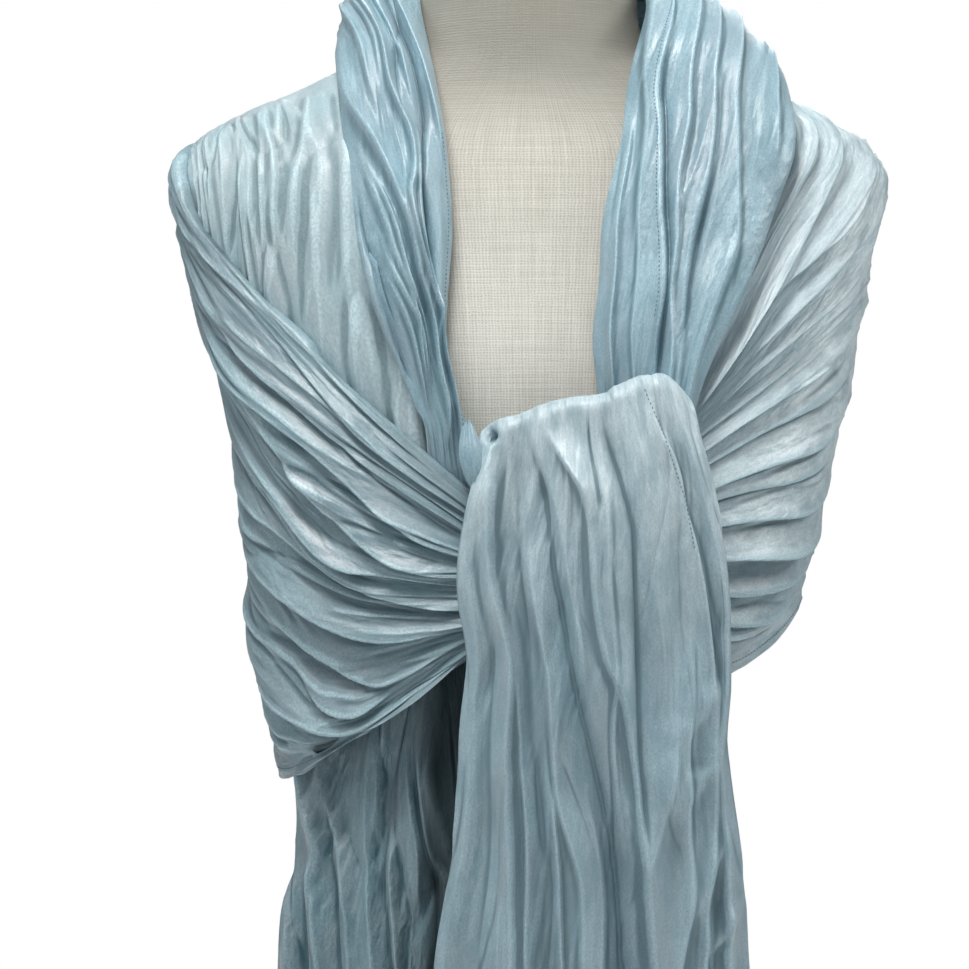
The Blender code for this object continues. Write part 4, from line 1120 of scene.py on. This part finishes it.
# Its folds from the hem up: heights and shares across, width of each side in metres, height out of the cloth
fall_folds = [
    ([(0.10, 0.20), (0.435, 0.250), (0.521, 0.193), (0.598, 0.178), (0.660, 0.120), (0.700, 0.075),
      (0.76, 0.010)], 0.012, 0.003, 0.0085),
    ([(0.10, 0.36), (0.435, 0.35), (0.52, 0.30), (0.588, 0.24), (0.66, 0.20), (0.70, 0.16),
      (0.76, 0.10)], 0.008, 0.008, -0.0045),
    ([(0.10, 0.50), (0.435, 0.468), (0.483, 0.446), (0.521, 0.376), (0.562, 0.345), (0.62, 0.29),
      (0.68, 0.25)], 0.003, 0.010, 0.0050),
    ([(0.10, 0.60), (0.435, 0.597), (0.521, 0.531), (0.56, 0.477), (0.598, 0.396), (0.630, 0.372),
      (0.660, 0.340), (0.70, 0.27), (0.74, 0.16)], 0.005, 0.005, -0.0060),
    ([(0.58, 0.42), (0.62, 0.43), (0.660, 0.395), (0.690, 0.335), (0.72, 0.25),
      (0.76, 0.16)], 0.003, 0.008, 0.0040),
    ([(0.10, 0.70), (0.435, 0.683), (0.508, 0.650), (0.547, 0.644), (0.586, 0.584), (0.604, 0.530),
      (0.628, 0.505), (0.643, 0.500), (0.665, 0.490), (0.681, 0.475), (0.698, 0.440), (0.717, 0.355),
      (0.745, 0.20)], 0.0025, 0.015, 0.0105),
    ([(0.66, 0.500), (0.69, 0.505), (0.73, 0.48), (0.77, 0.44)], 0.002, 0.003, -0.0020),
    ([(0.48, 0.665), (0.56, 0.662), (0.598, 0.652), (0.650, 0.655), (0.677, 0.648), (0.695, 0.620),
      (0.713, 0.590), (0.77, 0.50)], 0.004, 0.006, -0.0060),
    ([(0.50, 0.74), (0.58, 0.74), (0.64, 0.73), (0.70, 0.71), (0.78, 0.62)], 0.010, 0.008, 0.0040),
    ([(0.56, 0.93), (0.611, 0.925), (0.640, 0.905), (0.662, 0.885), (0.691, 0.850), (0.714, 0.835),
      (0.731, 0.80), (0.77, 0.76)], 0.006, 0.0018, 0.0050),
    ([(0.47, 0.640), (0.495, 0.672), (0.521, 0.721), (0.547, 0.774), (0.58, 0.80)], 0.007, 0.003, 0.0050),
    ([(0.10, 0.76), (0.435, 0.757), (0.470, 0.799), (0.508, 0.809), (0.586, 0.845),
      (0.63, 0.84)], 0.007, 0.003, 0.0055),
    ([(0.10, 0.84), (0.44, 0.85), (0.476, 0.864), (0.508, 0.901), (0.586, 0.945),
      (0.62, 0.95)], 0.006, 0.003, 0.0050),
    ([(0.10, 0.95), (0.40, 0.92), (0.54, 0.955), (0.637, 0.985), (0.667, 0.960), (0.697, 0.930),
      (0.74, 0.90), (0.79, 0.84)], 0.003, 0.007, 0.0050),
    ([(0.10, 0.04), (0.46, 0.03), (0.58, 0.05), (0.66, 0.03), (0.78, 0.00)], 0.006, 0.006, 0.0035),
    ([(0.10, 0.10), (0.44, 0.13), (0.54, 0.11), (0.62, 0.09), (0.70, 0.02)], 0.006, 0.006, -0.0035),
    ([(0.10, 0.29), (0.42, 0.295), (0.50, 0.255), (0.57, 0.22), (0.63, 0.17)], 0.0016, 0.004, 0.0030),
    ([(0.10, 0.42), (0.42, 0.41), (0.50, 0.36), (0.56, 0.31)], 0.004, 0.0016, 0.0030),
    ([(0.50, 0.59), (0.56, 0.575), (0.61, 0.56), (0.67, 0.545), (0.72, 0.50)], 0.004, 0.0016, 0.0026),
    ([(0.10, 0.54), (0.40, 0.53), (0.48, 0.52), (0.54, 0.46)], 0.005, 0.0016, 0.0032),
    # Crushed creases that run aslant in its lower right corner
    ([(0.553, 0.79), (0.570, 0.87), (0.596, 0.97)], 0.010, 0.005, 0.0024),
    ([(0.520, 0.78), (0.530, 0.85), (0.545, 0.92), (0.550, 0.98)], 0.010, 0.004, 0.0028),
    ([(0.455, 0.78), (0.475, 0.85), (0.500, 0.92), (0.515, 0.97)], 0.010, 0.004, 0.0030),
    ([(0.440, 0.86), (0.455, 0.92), (0.475, 0.98)], 0.008, 0.004, 0.0028),
]
hung_columns = 236


def hung_piece(name, points, flat, first_round, last_round, material, crest, painted_light_and_shade):
    """An end of the shawl that hangs free, with its bottom border and both side borders turned under."""
    whole, whole_flat = turned_under(points[:, ::-1], flat[:, ::-1], hem_round, hem_back)
    margins = ((0, len(whole) - len(points)), (0, 0))
    crest, painted_light_and_shade = np.pad(crest, margins, mode="edge"), np.pad(painted_light_and_shade, margins, mode="edge")
    edges = edged(whole[:, ::-1], whole_flat[:, ::-1], first_round, last_round, crest, painted_light_and_shade)
    whole, whole_flat, crest, painted_light_and_shade = edges
    return grid_piece(name, whole, whole_flat, material, crest, painted_light_and_shade)


fall_across = np.linspace(0, 1, hung_columns)[None, :]
fall_line = sizes_at(fall_top, fall_across)[0]
fall_radius = (fall_lip - fall_front) / 2
fall_turn = np.radians(np.linspace(0, 180, 60))[:, None]
fall_over = (fall_lip + fall_front) / 2 + fall_radius * np.cos(fall_turn)
fall_rolled = fall_line - fall_radius + fall_radius * np.sin(fall_turn)
fall_down = np.linspace(0, 1, 301)[1:, None]
fall_low = fall_hem + 0.005 * np.cos(2.2 * math.pi * fall_across + 0.6)
fall_hung = (fall_line - fall_radius) - (fall_line - fall_radius - fall_low) * fall_down
fall_height = np.concatenate([fall_rolled, fall_hung])
fall_depth = np.concatenate([fall_over, fall_front + 0 * fall_down]) + fall_bow * (2 * fall_across - 1) ** 2
fall_left, fall_right = sizes_at(fall_sections, fall_height)
fall_wide = fall_right - fall_left
fall_side = fall_left + fall_wide * fall_across
fall_base = together(fall_side, fall_depth, fall_height)
fall_along = np.concatenate([fall_radius * fall_turn - math.pi * fall_radius, 0.5 * fall_down])
fall_cloth = 0.24 * fall_across
fall_shown = 0.12 + 0.88 * rising(fall_line - fall_height, 0, 0.05)
fall_raised = (1.50 + 0.25 * rising(fall_height, 0.56, 0.41)) * fall_shown * tucks(
    fall_folds, fall_height, fall_across, fall_wide, most_fade=0.05, sharp=1.15, rounded=0.03
)
fall_above = (0.3 + 0.7 * rising(fall_height - fall_low, 0, 0.02)) * (0.4 + 0.6 * fall_shown)
fall_raised = fall_raised + fall_above * crinkles(
    fall_along, fall_cloth, seed=53, apart=0.030, high=0.0019, swell=0.8, crisp=0.65
)
# The roll dips into a small hollow at its upper left corner
fall_hollow = np.exp(-(((fall_side + 0.0212) / 0.0026) ** 2) - ((fall_height - 0.7268) / 0.0034) ** 2)
fall_hollow = fall_hollow * (np.arange(len(fall_height)) > 28)[:, None]
fall_raised = fall_raised - 0.0085 * fall_hollow
fall_points = fall_base + surface_out(fall_base) * fall_raised[..., None]
satin_fall = satin("satin_fall", light=(0.44, 0.59, 0.66), deep=(0.19, 0.32, 0.38), grey=(0.38, 0.46, 0.51),
                   painted_highlight_on_crests=0.30, crush=3.5)
# Painted light and shade: the hollow gets no crest value, so it is painted as dark as a crease, and the fall
# is painted paler toward its top, a little darker low down and darker in the hollow
fall_crest = hollows(fall_raised.T, 0.16 / hung_columns).T * (1 - fall_hollow)
fall_painted_light_and_shade = 0.85 * rising(fall_height, 0.58, 0.72) - 0.10 * rising(fall_height, 0.50, 0.30)
fall_painted_light_and_shade = fall_painted_light_and_shade - 0.5 * fall_hollow
front_fall = hung_piece("fall", fall_points, together(fall_along, fall_cloth) + 0.7, 0.0012, 0.0009,
                        satin_fall, fall_crest, fall_painted_light_and_shade)
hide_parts("front_fall")

# Left tail: the shawl's other end, drawn out from inside the left swag and hanging behind the fall.
# It is more crumpled than the rest, in steep uneven folds.
tail_sections = [
    # height, left edge, right edge, depth and half span of its curve
    (0.262, -0.150, -0.012, 0.116, 0.182),
    (0.350, -0.147, -0.012, 0.114, 0.178),
    (0.440, -0.141, -0.014, 0.108, 0.170),
    (0.490, -0.136, -0.016, 0.102, 0.158),
    (0.540, -0.128, -0.018, 0.096, 0.149),
    (0.630, -0.108, -0.022, 0.094, 0.148),
    (0.690, -0.086, -0.022, 0.1015, 0.148),
]
tail_folds = [
    ([(0.10, 0.26), (0.35, 0.23), (0.422, 0.214), (0.450, 0.166), (0.473, 0.150), (0.483, 0.167),
      (0.51, 0.092), (0.534, 0.029), (0.58, 0.0)], 0.008, 0.004, 0.0085),
    ([(0.10, 0.36), (0.40, 0.34), (0.46, 0.30), (0.498, 0.223), (0.517, 0.156), (0.545, 0.101),
      (0.60, 0.08)], 0.007, 0.004, 0.0060),
    ([(0.10, 0.34), (0.40, 0.29), (0.455, 0.24), (0.49, 0.20), (0.53, 0.13)], 0.004, 0.004, -0.0045),
    ([(0.10, 0.45), (0.42, 0.44), (0.47, 0.40), (0.528, 0.360), (0.60, 0.34)], 0.007, 0.005, 0.0060),
    ([(0.47, 0.45), (0.528, 0.415), (0.547, 0.410), (0.62, 0.40)], 0.005, 0.003, 0.0045),
    ([(0.10, 0.56), (0.426, 0.542), (0.454, 0.518), (0.480, 0.498), (0.505, 0.511),
      (0.525, 0.50)], 0.005, 0.003, 0.0075),
    ([(0.10, 0.50), (0.426, 0.495), (0.480, 0.455), (0.52, 0.46)], 0.004, 0.004, -0.0045),
    ([(0.445, 0.60), (0.468, 0.613), (0.487, 0.619), (0.520, 0.569), (0.56, 0.52)], 0.005, 0.003, 0.0055),
    ([(0.10, 0.70), (0.426, 0.680), (0.468, 0.687), (0.520, 0.600), (0.56, 0.57)], 0.005, 0.005, -0.0075),
    ([(0.44, 0.78), (0.475, 0.742), (0.487, 0.685), (0.520, 0.639), (0.553, 0.621),
      (0.62, 0.60)], 0.005, 0.003, 0.0075),
    ([(0.10, 0.86), (0.44, 0.82), (0.488, 0.775), (0.501, 0.741), (0.529, 0.677),
      (0.58, 0.66)], 0.006, 0.004, 0.0070),
    ([(0.10, 0.95), (0.42, 0.92), (0.48, 0.88), (0.54, 0.82), (0.60, 0.78)], 0.006, 0.004, 0.0050),
    ([(0.10, 0.06), (0.40, 0.05), (0.45, 0.04), (0.48, 0.03)], 0.006, 0.005, 0.0055),
    ([(0.10, 0.13), (0.38, 0.12), (0.45, 0.09), (0.49, 0.07)], 0.004, 0.004, -0.0045),
]
tail_across = np.linspace(0, 1, hung_columns)[None, :]
tail_top = tail_sections[-1][0]
tail_low = tail_sections[0][0] + 0.004 * np.cos(1.8 * math.pi * tail_across)
tail_height = tail_top + (tail_low - tail_top) * np.linspace(0, 1, 170)[:, None]
tail_left, tail_right, tail_deep, tail_span = sizes_at(tail_sections, tail_height)
tail_wide = tail_right - tail_left
tail_side = tail_left + tail_wide * tail_across
tail_depth = -tail_deep * np.sqrt(1 - (tail_side / tail_span) ** 2)
tail_base = together(tail_side, tail_depth, tail_height)
tail_cloth = 0.22 * tail_across
tail_above = 0.3 + 0.7 * rising(tail_height - tail_low, 0, 0.02)
tail_raised = 1.5 * tucks(tail_folds, tail_height, tail_across, tail_wide, most_fade=0.05, rounded=0.02)
tail_raised = tail_raised + tail_above * crinkles(
    -tail_height, tail_cloth, seed=71, apart=0.030, high=0.0026, swell=0.8, crisp=1.0
)
tail_raised = tail_raised * (1 - 0.6 * rising(tail_height, 0.54, 0.59))
tail_points = tail_base + surface_out(tail_base) * tail_raised[..., None]
satin_tail = satin("satin_tail", light=(0.34, 0.46, 0.51), deep=(0.10, 0.22, 0.27), grey=(0.30, 0.36, 0.39),
                   painted_highlight_on_crests=0.35, painted_shade_in_creases=0.92, crush=8.0)
# Painted shade: its right part and its top, which lie in the inside of the shawl, are painted dark, darkest
# in the slit beside the fall
tail_painted_shade = 0.94 * rising(tail_across, 0.57, 0.72) + 0.55 * rising(tail_height, 0.575, 0.635)
tail_slit_painted_shade = rising(tail_across, 0.80, 0.88) * rising(tail_height, 0.555, 0.585)
tail_painted_shade = np.clip(tail_painted_shade, 0, 0.94) + 0.05 * tail_slit_painted_shade
# Crest values, for painted crease shade and painted crest highlights
tail_crest = hollows(tail_raised.T, 0.13 / hung_columns).T
tail = hung_piece("tail", tail_points, together(-tail_height, tail_cloth) + 1.4, 0.0009, 0.0009,
                  satin_tail, tail_crest, -tail_painted_shade)
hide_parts("tail_left")

# Knot: the turn of cloth packed tightly under the fall, its folds wound round it.
# It is a closed roll that narrows to both ends, with one short band beside it.
knot_sections = [
    # across, middle height, half height, half depth
    (-0.040, 0.7160, 0.006, 0.004),
    (-0.036, 0.7160, 0.012, 0.008),
    (-0.031, 0.7150, 0.012, 0.009),
    (-0.026, 0.7080, 0.007, 0.009),
    (-0.017, 0.7070, 0.007, 0.009),
    (-0.008, 0.6980, 0.015, 0.009),
    (0.010, 0.6920, 0.021, 0.010),
    (0.022, 0.6920, 0.019, 0.009),
    (0.030, 0.6920, 0.010, 0.005),
]
knot_depth = -0.133
knot_rows = 110
knot_place = np.linspace(knot_sections[0][0], knot_sections[-1][0], knot_rows)[:, None]
knot_turn = np.linspace(0, 2 * math.pi, 90)[None, :]
knot_middle, knot_high, knot_deep = sizes_at(knot_sections, knot_place)
knot_wound = 0.95 + 0.10 * np.abs(np.sin(3.5 * knot_turn + 120 * knot_place)) ** 0.7
# Both ends are shut over eight rows
knot_ends = np.minimum(np.arange(knot_rows), np.arange(knot_rows)[::-1])[:, None]
knot_shut = np.clip(knot_ends / 8, 0, 1)
knot_shut = np.sqrt(knot_shut * (2 - knot_shut))
knot_points = together(
    knot_place,
    knot_depth + knot_deep * knot_shut * knot_wound * np.cos(knot_turn),
    knot_middle + knot_high * knot_shut * knot_wound * np.sin(knot_turn),
)
knot_flat = together(knot_turn * 0.012, knot_place) + 2.0
# Its crest value follows its winding, for painted shade between the windings
knot_roll = grid_piece("knot_roll", knot_points, knot_flat, satin_collar, 0.5 + 4 * (knot_wound - 1))
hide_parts("knot")


def knot_band(name, rows, flat_at):
    """A short folded band of the knot, a row per section: middle x, y, z, half width, bulge and lean."""
    place = np.linspace(0, 1, 70)[:, None]
    side = np.linspace(-1, 1, 60)[None, :]
    middle_x, middle_y, middle_z, half, bulge, lean = sizes_at(spaced(rows), place)
    bowed = bulge * (1 - np.abs(side) ** 2.4) + 0.0009 * np.sin(9 * side + 4 * place) * (1 - side**2)
    points = together(middle_x + half * side, middle_y - bowed + lean * side, middle_z)
    flat = together(0.05 * place, 0.012 * side) + flat_at
    # Its crest value rises at both edges, for a painted highlight along them
    band = grid_piece(name, points, flat, satin_collar, np.clip(0.5 + 0.5 * np.abs(side) ** 8, 0, 1))


# The band that comes out from under the collar's end and passes up into the roll
knot_band("knot_band_left", [
    (-0.0348, -0.1400, 0.7360, 0.0008, 0.001, 0.000),
    (-0.0345, -0.1455, 0.7290, 0.0040, 0.004, 0.001),
    (-0.0332, -0.1480, 0.7185, 0.0064, 0.006, 0.002),
    (-0.0315, -0.1480, 0.7070, 0.0060, 0.006, 0.002),
    (-0.0292, -0.1450, 0.6965, 0.0032, 0.003, 0.001),
    (-0.0275, -0.1400, 0.6900, 0.0008, 0.001, 0.000),
], 2.3)

# Stitches: dark blue thread in short raised runs along the narrow hems, about 2.6 mm from one to the next.
# They show on the collar's inner border, its right ribbon, the fall's side hem and every lower hem.
stitch_every = 0.0026
stitch_long = 0.0018
stitch_thick = 0.00042


def on_grid(grid, rows, columns):
    """Points of a grid at places between its rows and columns."""
    low_row = np.clip(np.floor(rows).astype(int), 0, grid.shape[0] - 2)
    low_column = np.clip(np.floor(columns).astype(int), 0, grid.shape[1] - 2)
    down = (rows - low_row)[:, None]
    over = (columns - low_column)[:, None]
    upper = grid[low_row, low_column] * (1 - over) + grid[low_row, low_column + 1] * over
    lower = grid[low_row + 1, low_column] * (1 - over) + grid[low_row + 1, low_column + 1] * over
    return upper * (1 - down) + lower * down


def stitched(name, grid, outward, rows, columns):
    """A row of stitches along places of a grid, each a small six-cornered lump pointed at both ends."""
    rows, columns = np.broadcast_arrays(rows, columns)
    path = on_grid(grid, rows, columns)
    facing_out = on_grid(outward, rows, columns)
    run = run_along(path)
    starts = np.arange(int(run[-1] / stitch_every)) * stitch_every

    def along_path(values, reach):
        return np.stack([np.interp(starts + reach, run, values[:, axis]) for axis in range(3)], -1)

    begin, end = along_path(path, 0.0), along_path(path, stitch_long)
    middle, up = along_path(path, stitch_long / 2), along_path(facing_out, stitch_long / 2)
    side = np.cross(unit(end - begin), up)
    corners = np.stack([
        begin, end,
        middle + side * stitch_thick, middle + up * 1.6 * stitch_thick,
        middle - side * stitch_thick, middle - up * stitch_thick,
    ], 1)
    faces = []
    for first in range(0, 6 * len(starts), 6):
        for corner in range(4):
            here, there = first + 2 + corner, first + 2 + (corner + 1) % 4
            faces.append((first, here, there))
            faces.append((first + 1, there, here))
    mesh = bpy.data.meshes.new(name)
    mesh.from_pydata(corners.reshape(-1, 3), [], faces)
    mesh.shade_smooth()
    mesh.materials.append(thread_cotton)
    made = placed(name, mesh)
    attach(made, "root")


twist, taken = effect("thread_twist")
results(twist, Ply=stretched_noise(twist, taken["Vector"], 900, 900, 2))
thread_cotton = bpy.data.materials.new("stitching_thread")
thread_cotton.use_nodes = True
tree = thread_cotton.node_tree
shader = tree.nodes["Principled BSDF"]
shader.inputs["Roughness"].default_value = 0.55
around_piece = node(tree, "ShaderNodeTexCoord")
plied = node(tree, "ShaderNodeGroup", node_tree=twist)
tree.links.new(around_piece.outputs["Object"], plied.inputs["Vector"])
thread_colour = mixed(tree, plied.outputs["Ply"], (0.10, 0.18, 0.22, 1), (0.22, 0.33, 0.39, 1))
tree.links.new(thread_colour, shader.inputs["Base Color"])
relief(tree, shader, plied.outputs["Ply"], 0.4, 0.0002)

# The shawl's lower hem, all round, 6.5 mm above its edge
hem_row = np.interp(1 - 0.0065 / cloth_width, folds, np.arange(len(folds)))
stitched("stitches_lower_hem", wrap, wrap_facing, hem_row, np.arange(2.0, len(turns) - 2))
# The collar's inner border on the left, and the hem of its ribbon on the right
collar_surface = surface_out(collar_points)


def collar_stitches(name, place, share):
    """A row of stitches on the collar, at places along its sections and shares across."""
    rows = (place + 1) / (len(collar_sections) - 1) * (collar_steps - 1)
    stitched(name, collar_points, collar_surface, rows, share * (collar_columns - 1))


border_place = np.linspace(-0.2, 5.2, 200)
collar_stitches("stitches_collar_left", border_place,
                0.0034 / np.interp(border_place, collar_place[:, 0], collar_wide[:, 0]))
ribbon_place = np.linspace(11.4, 16.6, 200)
ribbon_edge = np.interp(ribbon_place, np.arange(12.0, 18.0), (0.15, 0.20, 0.295, 0.41, 0.50, 0.54))
collar_stitches("stitches_collar_right", ribbon_place,
                ribbon_edge - 0.0026 / np.interp(ribbon_place, collar_place[:, 0], collar_wide[:, 0]))
# The fall's side hem, by height and share across, its bottom hem, and the tail's bottom hem
side_hem = [
    (0.752, 0.765),
    (0.7477, 0.775),
    (0.7308, 0.812),
    (0.7144, 0.820),
    (0.6981, 0.838),
    (0.691, 0.850),
    (0.662, 0.872),
]
over_roll = 30
side_height, side_share = np.array(side_hem).T
side_down = np.linspace(side_height[0], side_height[-1], 120)
side_columns = np.interp(-side_down, -side_height, side_share) * (hung_columns - 1)
side_rows = np.array([
    np.interp(-reached, -fall_height[over_roll:, int(column)], np.arange(over_roll, len(fall_height)))
    for reached, column in zip(side_down, side_columns)
])
fall_facing = surface_out(fall_points)
bottom_columns = np.arange(3.0, hung_columns - 3.0)
stitched("stitches_fall_side", fall_points, fall_facing, side_rows, side_columns)
stitched("stitches_fall_hem", fall_points, fall_facing, len(fall_points) - 5.5, bottom_columns)
stitched("stitches_tail_hem", tail_points, surface_out(tail_points), len(tail_points) - 4.5, bottom_columns)
